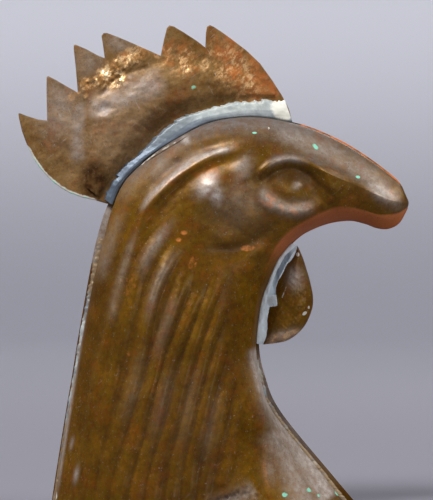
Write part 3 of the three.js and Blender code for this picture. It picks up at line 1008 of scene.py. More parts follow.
@dataclass
class CombHalf:
    """One pressed half of the comb: flat teeth, a swollen core and hammer marks."""

    side: Side
    plate: float = 1.0
    swell: float = 5.3
    spacing: float = 1.15
    outline: Path = (
        (290, 113), (288, 107), (282.5, 96.5), (272, 80), (260, 63.5), (247, 51), (232, 39.5), (221, 31.5),
        (214, 27), (210, 25.2), (207, 26.8), (206, 33), (205.3, 47.6), (197, 41), (184, 32.6), (174, 26.6),
        (169.5, 25.6), (167, 28), (164, 40), (160.7, 55.8), (150, 51), (132, 43), (118, 37), (107, 33),
        (103.6, 33.2), (101.6, 36), (103, 45), (104.8, 58.2), (97, 55), (86, 49), (76, 44.8), (74, 45),
        (73.8, 49), (76, 70), (77.9, 92.6), (68, 87), (56, 80), (48.5, 76.2), (46.8, 77), (46.6, 90),
        (47.2, 120.6), (38, 119.4), (27, 116), (20, 113.2), (18.6, 113.6), (19, 118), (22, 131), (26, 142),
        (30, 151), (34, 159.5), (40, 168), (47, 176), (54, 183), (62, 188.6), (70, 193), (82, 197.4),
        (96, 200.5),
    )

    def relief(self) -> list[Stroke | Bump]:
        """Return the folds, creases and dents of the comb.

        Returns:
            The strokes and bumps.
        """
        return [
            Stroke(((93, 99), (103, 91), (112, 80), (124, 72.5), (138, 68.5), (152, 65), (170, 62)), 4.0,
                    -1.0, (0.15, 0.3)),
            Stroke(((92, 80), (106, 65), (122, 54), (140, 50)), 4.0, -0.7, (0.2, 0.3)),
            Stroke(((94, 92), (110, 76), (130, 65), (152, 58)), 5.5, 0.8, (0.2, 0.3)),
            Stroke(((86, 104), (152, 83), (176, 74)), 8.0, 0.3, (0.2, 0.4)),
            Stroke(((87, 100), (86.5, 130), (87, 176)), 4.0, -0.4, (0.3, 0.2)),
            Bump((104, 109), (10, 9), -0.9),
            Bump((97, 118), (8, 7), 0.4),
            Bump((68, 140), (20, 32), 0.5, 10),
            Bump((232, 66), (16, 12), -0.4, 30),
            Bump((196, 84), (16, 10), -0.4, 0),
        ]

    def marks(self) -> list[Spot | Line]:
        """Return the spots and lines of colour on this half of the comb.

        Returns:
            The marks of both halves and those of this half alone.
        """
        marks: list[Spot | Line] = [
            *spots(Mark.SCRAPED, (240, 60, 44, 40, 0.6, 40), (60, 110, 40, 60, 0.5, 20)),
            *spots(
                Mark.BARE_AND_HIGHLIGHT,
                (248, 76, 46, 24, 0.78, 52), (226, 46, 22, 20, 0.75, 40), (180, 54, 38, 20, 0.48, 4),
                (132, 58, 28, 12, 0.25, -28), (186, 72, 20, 8, 0.5, -10), (122, 60, 22, 8, 0.5, -30),
                (262, 84, 26, 12, 0.9, 48), (176, 98, 16, 10, 0.45, -10), (50, 146, 14, 12, 0.35, 30),
            ),
            # a dark rust patch, and painted shade on the core's lower side above the solder
            *spots(
                Mark.GRIME_AND_SHADE,
                (94, 180, 16, 21, 0.9, 4), (168, 112, 40, 16, 0.4, -33), (226, 90, 34, 10, 0.4, -2),
            ),
            # painted shade along the crease under the hammered fold
            *lines(
                Mark.GRIME_AND_SHADE,
                (((96, 98), (105, 89), (114, 78.5), (126, 72), (140, 68), (154, 65)), 2.6, 0.75, 0.15),
            ),
            *spots(
                Mark.GLITTER,
                (111, 76, 14, 15, 1.5, -45), (90, 83, 14, 7, 1.3, -12), (186, 70, 16, 7, 0.7, -10),
                (130, 58, 26, 11, 0.75, -28), (174, 56, 34, 14, 0.48, 4), (206, 66, 26, 9, 0.5, 10),
                (78, 97, 12, 7, 0.5, 0), (236, 72, 42, 24, 0.6, 50),
            ),
            # painted highlights: a bright dent, and pale sheen on the left teeth and along the core's upper
            # side
            *spots(
                Mark.FILM_AND_HIGHLIGHT,
                (104, 109, 11, 8, 1.0, 20), (60, 108, 26, 40, 0.45), (118, 128, 62, 46, 0.14, -35),
                (88, 62, 20, 20, 0.32), (118, 44, 18, 10, 0.42, 20),
            ),
            *lines(
                Mark.FILM_AND_HIGHLIGHT,
                (((80, 112), (104, 106), (124, 98), (148, 88), (170, 78)), 15.0, 0.62, 0.2),
                (((82, 96), (77, 130), (79, 168)), 9.0, 0.55, 0.2),
            ),
            *lines(
                Mark.VERDIGRIS,
                (((27, 148), (34, 160), (42, 171), (54, 183), (66, 191), (80, 197), (94, 201)), 2.6, 0.46),
            ),
            *lines(
                Mark.TIN,
                (((27, 148), (34, 160), (42, 171), (54, 183), (66, 191), (80, 197), (94, 201)), 3.4, 0.9),
            ),
        ]
        if self.side is Side.RIGHT:
            marks.append(Spot(Mark.VERDIGRIS, (194, 88), (4.0, 2.8), 0.45))
        return marks

    def core(self, points: Array) -> Array:
        """Return the share of full swell at each point, 0 on the flat teeth and 1 on the core.

        Args:
            points: (n, 2) points on the squared sheet.

        Returns:
            The share at each point.
        """
        low = spline(COMB_CORE_LOW, np.linspace(0, 1, 30))
        high = spline(COMB_CORE_HIGH, np.linspace(0, 1, 30))
        from_low, share = to_path(points, low)
        from_high, high_share = to_path(points, high)
        inside = inside_outline(points, np.concatenate([low, high[::-1]]))
        across = from_low / np.maximum(from_low + from_high, 1e-6)
        rise = np.sin(math.pi / 2 * np.clip(np.minimum(across / 0.3, (1 - across) / 0.55), 0, 1)) ** 1.3
        along = (share + high_share) / 2
        length = np.interp(along, [0, 0.1, 0.25, 0.5, 0.75, 1.0], [0.35, 0.75, 1.0, 0.85, 0.5, 0.18])
        return np.where(inside, rise * length, 0.0)

    def build(self) -> bpy.types.Object:
        """Build this half of the comb as a fine closed mesh.

        Returns:
            The finished object, not yet dressed.
        """
        cross = Crossing.at(np.linspace(NAPE, COMB_END, 60))
        root = cross.back_rim if self.side is Side.RIGHT else cross.back
        rough = np.concatenate([root, np.asarray(self.outline, float)])
        ring = refined(rough, self.spacing)
        points, faces = filled(ring, rough, self.spacing, (0.35, 0.8, 1.5))
        gap, _ = to_path(points, np.concatenate([rough, rough[:1]]))
        root_gap, _ = to_path(points, root)
        free = np.where(root_gap < 1.2, 99.0, gap)
        core = self.core(points)
        masks = painted(points, self.marks())
        carved = sum(shape.height(points) for shape in self.relief())
        carved += beaten(points, (0.16, 17, 21), (0.05, 7, 22))
        carved += 0.14 * masks[Mark.GLITTER.value] * unevenness(points, 4.2, 23)
        carved *= smooth(gap, 0.5, 7) * smooth(root_gap, 4, 14)
        round_edge = np.sqrt(np.clip(1 - (1 - np.clip(free / 1.2, 0, 1)) ** 2, 0, 1))
        height = self.plate * (0.6 + 0.4 * round_edge) + (self.swell - self.plate) * core
        carved = np.where(carved < 0, carved * np.clip(core + 0.3, 0, 1), carved * 0.8)
        height = np.clip(height + carved, 0.2, self.swell)
        height = np.minimum(height, self.plate + np.clip(root_gap - 3, 0, None) * 1.2)
        # groove: darker patina and painted shade in the hollows
        masks["groove"] = np.clip(0.45 - carved / 2.4, 0, 1)
        masks["bevel"] = masks["matt"] = np.zeros(len(points))
        name = f"comb_{self.side.word}_sheet"
        return plate_object(name, points, faces, len(ring), height, self.side, masks)


COMB_CORE_LOW: Path = (
    (100, 198), (110, 181), (121, 168), (136, 154), (170, 121.5), (200, 110), (236, 101), (274, 97),
)
COMB_CORE_HIGH: Path = (
    (84, 186), (79, 140), (88, 98), (112, 74), (150, 62), (190, 56), (238, 68), (274, 92),
)


def inside_outline(points: Array, outline: Array) -> Array:
    """Return True for each point that lies inside a closed outline.

    Args:
        points: (n, 2) points on the squared sheet.
        outline: corners of the outline in order.

    Returns:
        One truth value for each point.
    """
    inside = np.zeros(len(points), bool)
    x, y = points[:, 0], points[:, 1]
    previous = outline[-1]
    for corner in outline:
        crosses = (corner[1] > y) != (previous[1] > y)
        rise = previous[1] - corner[1]
        cut = corner[0] + (previous[0] - corner[0]) * (y - corner[1]) / (rise if rise else 1e-12)
        inside ^= crosses & (x < cut)
        previous = corner
    return inside


def refined(outline: Array, spacing: float) -> Array:
    """Return a closed outline with points added so that none of its steps is longer than the spacing.

    Args:
        outline: corners of the outline in order.
        spacing: longest step in squares.

    Returns:
        The corners with the points between them.
    """
    made: list[Array] = []
    for start, end in zip(outline, np.roll(outline, -1, axis=0)):
        steps = max(1, math.ceil(float(np.hypot(*(end - start))) / spacing))
        made.extend(start + (end - start) * k / steps for k in range(steps))
    return np.array(made)


def filled(
    ring: Array, rough: Array, spacing: float, insets: Sequence[float]
) -> tuple[Array, list[list[int]]]:
    """Fill an outline with an even triangle mesh.

    Args:
        ring: points of the closed outline.
        rough: the same outline with only its own corners.
        spacing: distance between inner points, in squares.
        insets: distances inside the outline that get a row of points of their own.

    Returns:
        The points, the outline's first, and the triangles.
    """
    ahead = np.roll(ring, -1, axis=0) - np.roll(ring, 1, axis=0)
    ahead /= np.maximum(np.linalg.norm(ahead, axis=1, keepdims=True), 1e-9)
    normal = np.stack([-ahead[:, 1], ahead[:, 0]], -1)
    inner: list[Array] = []
    closed = np.concatenate([rough, rough[:1]])
    for inset in insets:
        for way in (-1, 1):
            row = ring + normal * inset * way
            gap, _ = to_path(row, closed)
            inner.append(row[inside_outline(row, rough) & (gap > 0.9 * inset)])
    low, high = ring.min(0), ring.max(0)
    rows = np.arange(low[1], high[1], spacing * ROW_RISE)
    lines = [np.arange(low[0] + (k % 2) * spacing / 2, high[0], spacing) for k in range(len(rows))]
    lattice = np.concatenate([np.column_stack([line, np.full(len(line), y)]) for line, y in zip(lines, rows)])
    lattice = lattice[inside_outline(lattice, rough)]
    gap, _ = to_path(lattice, closed)
    inner.append(lattice[gap > max(insets) + 0.4 * spacing])
    every = np.concatenate([ring, *inner])
    count = len(ring)
    edges = [(k, (k + 1) % count) for k in range(count)]
    made = delaunay_2d_cdt([Vector(p) for p in every], edges, [], 1, WELD, True)
    points = np.array([tuple(p) for p in made[0]])
    source = [ids[0] if ids else -1 for ids in made[3]]
    order = sorted(range(len(points)), key=lambda k: source[k] if 0 <= source[k] < count else count + k)
    rank = {old: new for new, old in enumerate(order)}
    points = points[order]
    return points, kept_inside(points, [[rank[k] for k in face] for face in made[2]], ring)


def kept_inside(points: Array, faces: list[list[int]], outline: Array) -> list[list[int]]:
    """Return the faces whose middle lies inside the outline."""
    middles = np.array([points[face].mean(0) for face in faces])
    return [face for face, inside in zip(faces, inside_outline(middles, outline)) if inside]


def plate_object(
    name: str,
    points: Array,
    faces: list[list[int]],
    ring: int,
    height: Array,
    side: Side,
    masks: dict[str, Array],
) -> bpy.types.Object:
    """Make a closed mesh of a filled outline with heights and a flat back in the seam plane.

    Args:
        name: name of the object.
        points: points on the squared sheet, the outline's first.
        faces: triangles of the filled outline.
        ring: how many points the outline has.
        height: height of each point in millimetres.
        side: side of the seam plane.
        masks: attributes with one value for each point.

    Returns:
        The new object.
    """
    x, z = to_world(points)
    front = np.stack([x, side.value * height * MM, z], -1)
    behind = front[:ring].copy()
    behind[:, 1] = 0.0
    edges = [(k, (k + 1) % ring) for k in range(ring)]
    back = delaunay_2d_cdt([Vector(p) for p in points[:ring]], edges, [], 1, WELD, True)
    ids = [item[0] for item in back[3]]
    corners = points[faces[0]]
    turn = np.cross(corners[1] - corners[0], corners[2] - corners[0])
    walls = [[k, (k + 1) % ring, len(points) + (k + 1) % ring, len(points) + k] for k in range(ring)]
    x_now, y_now = points[:ring].T
    area = np.sum(x_now * np.roll(y_now, -1) - np.roll(x_now, -1) * y_now)
    if (area > 0) == (turn > 0):
        walls = [wall[::-1] for wall in walls]
    back_faces = kept_inside(points, [[ids[k] for k in face] for face in back[2]], points[:ring])
    backs = [[len(points) + k for k in reversed(face)] for face in back_faces]
    values = {key: np.concatenate([mask, mask[:ring]]) for key, mask in masks.items()}
    return make_object(name, np.concatenate([front, behind]), [*faces, *walls, *backs], values)


@dataclass
class CombSolder:
    """The thick solder fillet between comb and crest, with a ragged upper edge."""

    side: Side
    plate: float = 1.0
    proud: float = 3.2
    rows: int = 420
    columns: int = 34
    upper: Path = (
        (104, 199), (112, 181), (124, 166), (137, 155), (171, 122.5), (200, 111), (236, 102), (284, 99),
    )

    def build(self) -> bpy.types.Object:
        """Build the fillet as a fine closed mesh.

        Returns:
            The finished object, not yet dressed.
        """
        t = np.linspace(0, 1, self.rows)
        cross = Crossing.at(NAPE + t * (COMB_END - NAPE))
        low = cross.back_rim if self.side is Side.RIGHT else cross.back
        high = spline(self.upper, t)
        up = (high - low) / np.linalg.norm(high - low, axis=1, keepdims=True)
        ragged = beaten(high, (1.3, 11, 31), (0.8, 4.5, 32))
        width = np.linalg.norm(high - low, axis=1)
        high = high + up * (np.clip(ragged, -2.6, 1.6) * smooth(t, 0.0, 0.06) - 0.6)[:, None]
        share = np.linspace(0, 1, self.columns)
        points = between(low, high, share)
        reach = np.outer(np.linalg.norm(high - low, axis=1) / width, share)
        places = [0, 0.04, 0.12, 0.28, 0.45, 0.8, 1.1]
        swell = np.interp(reach, places, [0.66, 0.8, 0.89, 0.93, 0.9, 0.68, 0.42])
        swell *= 1 - 0.92 * smooth(share, 0.86, 1.0) ** 1.5
        flat = points.reshape(-1, 2)
        blob = Bump((280, 108), (12, 12), 0.12).height(flat).reshape(points.shape[:2])
        rough = 1 + (beaten(points, (0.07, 16, 33), (0.02, 6, 34)) + blob) * 0.6
        height = self.plate + self.proud * np.clip(swell * rough, THIN, 1.0)
        masks = painted(flat, self.marks())
        sheen = (0.35 + 0.65 * smooth(t, 0.1, 0.4)) * (1 - 0.5 * smooth(t, 0.5, 0.8))
        masks["crest"] = (sheen[:, None] * (1 - smooth(reach, 0.3, 0.55))).ravel()
        masks["pale"] = (smooth(t, 0.35, 0.85)[:, None] * (0.46 + 0.26 * smooth(reach, 0.1, 0.4))).ravel()
        masks["stain"] = np.zeros(len(flat))
        name = f"comb_solder_{self.side.word}_fillet"
        return Relief(points, height, self.side, self.plate).mesh(name, masks)

    def marks(self) -> list[Spot | Line]:
        """Return the pale blob, the dark crack and the dull spots of the fillet.

        Returns:
            The marks of this side.
        """
        return [
            *spots(Mark.TIN, (283, 110, 16, 13, 0.92, 20), (252, 105, 26, 5, 0.36, -4)),
            *lines(
                Mark.GRIME_AND_SHADE,
                (((143, 161.5), (152, 155), (162, 149), (174, 141.5), (186, 135.5)), 1.0, 0.9),
                (((114, 190), (126, 176), (138, 165), (150, 156)), 0.8, 0.6, 0.2),
            ),
        ]


WATTLE_EDGE: Path = (
    (265, 344.3), (287, 340.5), (303, 328), (311.5, 311), (313, 297), (310, 281), (306.5, 269), (303, 258),
    (298, 246.5),
)
WATTLE_ROOT: Path = (
    (263, 344), (267, 330), (268, 315), (275, 300), (277, 287), (283, 274), (288, 264), (294, 255),
    (297, 246),
)


@dataclass
class WattleHalf:
    """One pressed half of the drop-shaped wattle."""

    side: Side
    root: float = 1.2
    swell: float = 5.2
    rows: int = 150
    columns: int = 90

    def build(self) -> bpy.types.Object:
        """Build this half of the wattle as a fine closed mesh.

        Returns:
            The finished object, not yet dressed.
        """
        t = np.linspace(0, 1, self.rows)
        cross = Crossing.at(THROAT + t * (WATTLE_TOP - THROAT))
        inner_edge = cross.front_rim if self.side is Side.RIGHT else cross.front
        inner, outer = spline(WATTLE_ROOT, t), spline(WATTLE_EDGE, t)
        share = np.concatenate([np.linspace(0, 1, self.columns), [1.0]])
        points = np.concatenate([inner_edge[:, None], between(inner, outer, share)], 1)
        full = np.sin(math.pi * np.clip(0.12 + 0.8 * t, 0, 1)) ** 0.5
        places = [0, 0.08, 0.2, 0.4, 0.62, 0.8, 0.92, 0.98, 1.0]
        swell = np.interp(share, places, [0.5, 0.68, 0.86, 1.0, 0.95, 0.76, 0.5, 0.25, 0.05])
        heights = self.root + (self.swell - self.root) * swell[None] * full[:, None]
        heights[:, -1] = 0.05
        heights[:, -2] = 0.8
        height = np.concatenate([np.full((self.rows, 1), self.root), heights], 1)
        flat = points.reshape(-1, 2)
        dents = beaten(points, (0.12, 12, 41), (0.05, 4, 42))
        inside = np.concatenate([[0.0, 0.0], np.sin(math.pi * np.linspace(0.02, 1, self.columns - 1)), [0.0]])
        height = np.clip(height + dents * inside[None], 0.05, self.swell)
        masks = painted(flat, self.marks())
        masks["groove"] = np.full(len(flat), 0.5)
        masks["bevel"] = masks["matt"] = np.zeros(len(flat))
        return Relief(points, height, self.side).mesh(f"wattle_{self.side.word}_sheet", masks)

    def marks(self) -> list[Spot | Line]:
        """Return the pale lower rim, the bright rim specks painted as glints, the painted highlights and the
        scratch.

        Returns:
            The marks of this side.
        """
        return [
            # painted glints on the rim at the lower right, and a pale speck near the top
            *spots(
                Mark.TIN,
                (304.5, 313, 3.4, 2.0, 0.95, -38), (308.5, 307.5, 1.6, 2.2, 0.8),
                (297.4, 254.5, 2, 2.4, 0.9),
            ),
            *spots(Mark.GLITTER, (285, 337, 22, 8, 0.6, -18)),
            # a pale lower rim and a painted highlight on the upper swell
            *spots(Mark.FILM_AND_HIGHLIGHT, (283, 336, 20, 7, 0.7, -14), (294, 277, 10, 14, 0.6, -10)),
            # a painted peach highlight on the upper right edge
            *spots(Mark.BARE_AND_HIGHLIGHT, (301.5, 262, 2.4, 6, 0.5, -20), (297, 262, 7, 8, 0.3)),
            *lines(Mark.TIN, (((286, 287), (284, 292), (282, 297)), 1.0, 0.5)),
        ]


@dataclass
class WattleSolder:
    """The solder strip between wattle and throat, with its small tab."""

    side: Side
    root: float = 1.2
    proud: float = 1.8
    lap: float = 1.8
    tab_rise: float = 2.4
    rows: int = 260
    columns: int = 24

    def build(self) -> bpy.types.Object:
        """Build the strip as a fine closed mesh.

        Returns:
            The finished object, not yet dressed.
        """
        t = np.linspace(0, 1, self.rows)
        cross = Crossing.at(THROAT + t * (WATTLE_TOP - THROAT))
        low = cross.front_rim if self.side is Side.RIGHT else cross.front
        high = spline(WATTLE_ROOT, t)
        across = (high - low) / np.linalg.norm(high - low, axis=1, keepdims=True)
        ragged = beaten(high, (0.5, 9, 51), (0.3, 3.5, 52))
        tab = 5.5 * (smooth(high[:, 1], 294.5, 296.5) - smooth(high[:, 1], 303.5, 305.5))
        high = high + across * (ragged + self.lap + (tab if self.side is Side.RIGHT else 0.0))[:, None]
        share = np.linspace(0, 1, self.columns)
        points = between(low, high, share)
        swell = np.interp(share, [0, 0.06, 0.3, 0.6, 0.9, 1], [0.6, 0.85, 0.98, 1.0, 0.98, 0.8])
        flat = points.reshape(-1, 2)
        rough = beaten(points, (0.14, 9, 53), (0.05, 4, 54))
        height = self.root + self.proud * np.clip(swell[None] * (1 + 0.5 * rough), 0.03, 1.0)
        if self.side is Side.RIGHT:
            height = height + Bump((279, 301), (13, 9), self.tab_rise).height(flat).reshape(height.shape)
        masks = painted(flat, self.marks())
        middle = smooth(share, 0.15, 0.35) * (1 - smooth(share, 0.65, 0.85))
        slate = np.outer(smooth(t, 0.3, 0.55) * (1 - 0.8 * smooth(t, 0.8, 0.95)), middle)
        masks["crest"] = (0.9 * slate).ravel()
        masks["pale"] = (1.3 - 1.1 * slate).ravel()
        masks["stain"] = np.zeros(len(flat))
        name = f"wattle_solder_{self.side.word}_strip"
        return Relief(points, height, self.side, self.root).mesh(name, masks)

    def marks(self) -> list[Spot | Line]:
        """Return the bright edge, the icy lower band and the tab of the strip.

        Returns:
            The marks of this side.
        """
        return [
            *lines(
                Mark.TIN,
                (((296, 243), (284, 254), (276, 268), (267, 291), (261, 318), (257, 345)), 2.6, 1.0),
                (((267, 300), (264, 320), (262, 344)), 8.0, 1.3, 0.15),
                (((297, 249), (289, 261), (282, 274), (276, 289)), 1.6, 0.8, 0.1),
            ),
            *spots(Mark.TIN, (277, 300.5, 12, 7, 1.3)),
        ]


@dataclass
class SeamSolder:
    """A thin line of solder on the far half's flange, against the near half's rim."""

    name: str
    at_back: bool
    last: float
    cover: float = 0.45
    proud: float = 1.0
    rows: int = 420

    def build(self) -> bpy.types.Object:
        """Build the line as a fine closed mesh.

        Returns:
            The finished object, not yet dressed.
        """
        t = np.linspace(0, 1, self.rows)
        cross = Crossing.at(t * self.last)
        rim = cross.back_rim if self.at_back else cross.front_rim
        edge = cross.back if self.at_back else cross.front
        calm = 1 - 0.7 * smooth(rim[:, 1], 380, 420) * (0.0 if self.at_back else 1.0)
        width = self.cover + beaten(rim, (0.1, 13, 61), (0.06, 4, 62)) * calm
        share = np.linspace(0, 1, 7)
        points = between(rim, edge, share[None] * np.clip(width, 0.15, 0.82)[:, None])
        swell = np.sqrt(np.clip(1 - share**2, 0.02, 1))
        rough = 1 + 0.12 * unevenness(rim, 5, 63)
        height = np.clip(self.proud * swell[None] * np.clip(rough, 0.4, 1.05)[:, None], 0.03, 1.08)
        flat = points.reshape(-1, 2)
        masks = painted(flat, [Spot(Mark.TIN, (269, 401.6), (2, 3.4)), Spot(Mark.TIN, (314.5, 463), (4, 3))])
        masks["crest"] = np.full(len(flat), 0.5 if self.at_back else 0.1)
        fresh = smooth(flat[:, 1], 280, 330) * (1 - smooth(flat[:, 1], 390, 440))
        stain = 0.95 - 0.85 * fresh if self.at_back else 0.1 + 0.9 * smooth(flat[:, 1], 392, 418)
        masks["stain"] = np.clip(stain + 0.3 * unevenness(flat, 17, 65), 0, 1)
        masks["pale"] = np.clip(0.7 + 0.45 * unevenness(flat, 24, 64), 0, 1) * (1 - 0.85 * masks["stain"])
        return Relief(points, height, Side.RIGHT).mesh(self.name, masks)


class Graph:
    """A short way to write a node tree."""

    def __init__(self, tree: bpy.types.NodeTree) -> None:
        """Start with an empty tree."""
        self.tree = tree
        tree.nodes.clear()

    def add(
        self, kind: str, values: dict[str | int, object] | None = None, **settings: object
    ) -> bpy.types.Node:
        """Add a node.

        Args:
            kind: Blender's name of the node type.
            values: socket name or index to a plain value or an output socket.
            **settings: properties of the node.

        Returns:
            The new node.
        """
        node = self.tree.nodes.new(kind)
        for key, value in settings.items():
            setattr(node, key, value)
        for key, value in (values or {}).items():
            socket = node.inputs[key]
            if isinstance(value, bpy.types.NodeSocket):
                self.tree.links.new(value, socket)
            else:
                socket.default_value = value
        return node

    def noise(self, place: object, scale: object, detail: float, rough: float = 0.6) -> bpy.types.NodeSocket:
        """Return the value of a noise texture."""
        values = {"Vector": place, "Scale": scale, "Detail": detail, "Roughness": rough}
        return self.add("ShaderNodeTexNoise", values).outputs["Fac"]

    def math(self, operation: str, a: object, b: object = 0.0, clamp: bool = False) -> bpy.types.NodeSocket:
        """Return the result of a sum on two values."""
        node = self.add("ShaderNodeMath", {0: a, 1: b}, operation=operation, use_clamp=clamp)
        return node.outputs[0]

    def ramp(self, value: object, low: float, high: float) -> bpy.types.NodeSocket:
        """Return 0 below low, 1 above high and a smooth step between."""
        values = {"Value": value, "From Min": low, "From Max": high}
        return self.add("ShaderNodeMapRange", values, interpolation_type="SMOOTHSTEP").outputs["Result"]

    def total(self, base: object, *parts: tuple[object, float]) -> bpy.types.NodeSocket:
        """Return a base with parts added to it, each times its weight.

        Args:
            base: value or socket to start from.
            parts: a value or socket and its weight each.

        Returns:
            The sum's socket.
        """
        for value, weight in parts:
            node = self.add("ShaderNodeMath", {0: value, 1: weight, 2: base}, operation="MULTIPLY_ADD")
            base = node.outputs[0]
        return base

    def mix(self, share: object, a: object, b: object) -> bpy.types.NodeSocket:
        """Return a blend of two colours."""
        return self.add("ShaderNodeMix", {0: share, 6: a, 7: b}, data_type="RGBA").outputs[2]

    def layered(self, colour: object, *layers: tuple[object, float, object]) -> bpy.types.NodeSocket:
        """Return a colour with others laid over it in turn, each of a mask, its weight and the colour.

        Args:
            colour: colour or socket to start from.
            layers: mask, weight and colour of each.

        Returns:
            The last colour's socket.
        """
        for mask, weight, over in layers:
            colour = self.mix(mask if weight == 1 else self.math("MULTIPLY", mask, weight), colour, over)
        return colour

    def group(self, tree: bpy.types.NodeTree, **inputs: object) -> list[bpy.types.NodeSocket]:
        """Return the outputs of a shared group with its inputs set."""
        return list(self.add("ShaderNodeGroup", inputs, node_tree=tree).outputs)

    def surface(self, sockets: dict[str | int, object]) -> None:
        """Finish a material with a Principled shader."""
        shader = self.add("ShaderNodeBsdfPrincipled", sockets)
        self.add("ShaderNodeOutputMaterial", {"Surface": shader.outputs[0]})

    def attribute(self, name: str) -> bpy.types.NodeSocket:
        """Return the value of a vertex attribute."""
        return self.add("ShaderNodeAttribute", attribute_name=name).outputs["Fac"]

    def place(self, stretch: Place = (1, 1, 1), turn: float = 0.0) -> bpy.types.NodeSocket:
        """Return the place on the object in millimetres, turned about Y and stretched.

        Args:
            stretch: scale along each axis.
            turn: turn about Y in degrees.

        Returns:
            The place's socket.
        """
        where = self.add("ShaderNodeTexCoord").outputs["Object"]
        scale = tuple(s / MM for s in stretch)
        turned = self.add("ShaderNodeMapping", {"Vector": where, "Rotation": (0.0, math.radians(turn), 0.0)})
        return self.add("ShaderNodeMapping", {"Vector": turned.outputs[0], "Scale": scale}).outputs[0]


Colour = tuple[float, float, float, float]


def shade(red: int, green: int, blue: int) -> Colour:
    """Return a linear colour from its 0 to 255 display values.

    Args:
        red, green, blue: display values.

    Returns:
        The colour with full alpha.
    """

    def linear(value: float) -> float:
        """Return one linear channel from its display value."""
        share = value / 255
        return share / 12.92 if share <= 0.04045 else ((share + 0.055) / 1.055) ** 2.4

    return (linear(red), linear(green), linear(blue), 1.0)


def open_material(name: str) -> tuple[Graph, bpy.types.Material]:
    """Return a new material and its empty graph.

    Args:
        name: the material's name.

    Returns:
        The graph to write and the material.
    """
    made = bpy.data.materials.new(name)
    made.use_nodes = True
    return Graph(made.node_tree), made


def open_group(
    name: str, inputs: dict[str, str], outputs: dict[str, str]
) -> tuple[Graph, dict[str, bpy.types.NodeSocket], bpy.types.Node]:
    """Start a node group.

    Args:
        name: name of the group.
        inputs: input names with their socket types.
        outputs: output names with their socket types.

    Returns:
        The group's graph, its input sockets by name and its output node.
    """
    tree = bpy.data.node_groups.new(name, "ShaderNodeTree")
    for key, kind in inputs.items():
        tree.interface.new_socket(name=key, in_out="INPUT", socket_type=kind)
    for key, kind in outputs.items():
        tree.interface.new_socket(name=key, in_out="OUTPUT", socket_type=kind)
    graph = Graph(tree)
    entry = graph.add("NodeGroupInput")
    return graph, {key: entry.outputs[key] for key in inputs}, graph.add("NodeGroupOutput")


VALUE = "NodeSocketFloat"
VECTOR = "NodeSocketVector"


def cloud_group() -> bpy.types.NodeTree:
    """Return the shared group of cloudy, mottled and speckled masks at three scales.

    Returns:
        The group's node tree.
    """
    graph, given, out = open_group(
        "weather_clouds",
        {"Place": VECTOR, "Size": VALUE},
        {"Cloud": VALUE, "Mottle": VALUE, "Tarnish": VALUE, "Speck": VALUE, "Grain": VALUE},
    )
    scale = graph.math("DIVIDE", 1.0, given["Size"])
    for key, factor, detail, low, high in (
        ("Cloud", 1.0, 5.0, 0.36, 0.66),
        ("Mottle", 4.5, 6.0, 0.38, 0.64),
        ("Tarnish", 10.0, 5.0, 0.4, 0.62),
        ("Speck", 17.0, 3.0, 0.64, 0.74),
        ("Grain", 40.0, 2.0, 0.2, 0.8),
    ):
        noise = graph.noise(given["Place"], graph.math("MULTIPLY", scale, factor), detail, 0.62)
        graph.tree.links.new(graph.ramp(noise, low, high), out.inputs[key])
    return graph.tree


def scratch_group() -> bpy.types.NodeTree:
    """Return the shared group of fine scratches along two directions.

    Returns:
        The group's node tree.
    """
    graph, given, out = open_group("fine_scratches", {"Place": VECTOR, "Amount": VALUE}, {"Scratch": VALUE})
    total: object = 0.0
    for turn, stretch in ((25.0, 9.0), (-50.0, 13.0)):
        turned = graph.add(
            "ShaderNodeMapping", {"Vector": given["Place"], "Rotation": (0.0, math.radians(turn), 0.0)}
        )
        narrow = (1.0, 1.0, 1.0 / stretch)
        drawn = graph.add("ShaderNodeMapping", {"Vector": turned.outputs[0], "Scale": narrow})
        line = graph.ramp(graph.noise(drawn.outputs[0], 1.6, 2.0, 0.5), 0.66, 0.76)
        total = graph.math("MAXIMUM", line, total)
    graph.tree.links.new(graph.math("MULTIPLY", total, given["Amount"]), out.inputs["Scratch"])
    return graph.tree


def film_group() -> bpy.types.NodeTree:
    """Return the shared group of the dull grey deposit and painted sky sheen on upward faces, and the pale
    lilac layer and painted highlights where they are drawn.

    Returns:
        The group's node tree.
    """
    graph, given, out = open_group(
        "upward_dust_sheen_and_film", {"Drawn": VALUE, "Mottle": VALUE, "Amount": VALUE}, {"Dust_and_sky_sheen": VALUE, "Film_and_highlight": VALUE}
    )
    normal = graph.add("ShaderNodeNewGeometry").outputs["Normal"]
    # upward faces get a grey deposit and a painted sky sheen
    upward = graph.ramp(graph.add("ShaderNodeSeparateXYZ", {0: normal}).outputs["Z"], 0.25, 0.95)
    uneven = graph.total(0.55, (given["Mottle"], 0.6))
    dust_and_sky_sheen = graph.math("MULTIPLY", graph.math("MULTIPLY", upward, given["Amount"]), uneven, clamp=True)
    graph.tree.links.new(dust_and_sky_sheen, out.inputs["Dust_and_sky_sheen"])
    graph.tree.links.new(graph.math("MULTIPLY", given["Drawn"], uneven, clamp=True), out.inputs["Film_and_highlight"])
    return graph.tree


@dataclass(frozen=True)
class SharedGroups:
    """The node groups that several finishes use."""

    clouds: bpy.types.NodeTree
    scratches: bpy.types.NodeTree
    film_and_highlight: bpy.types.NodeTree


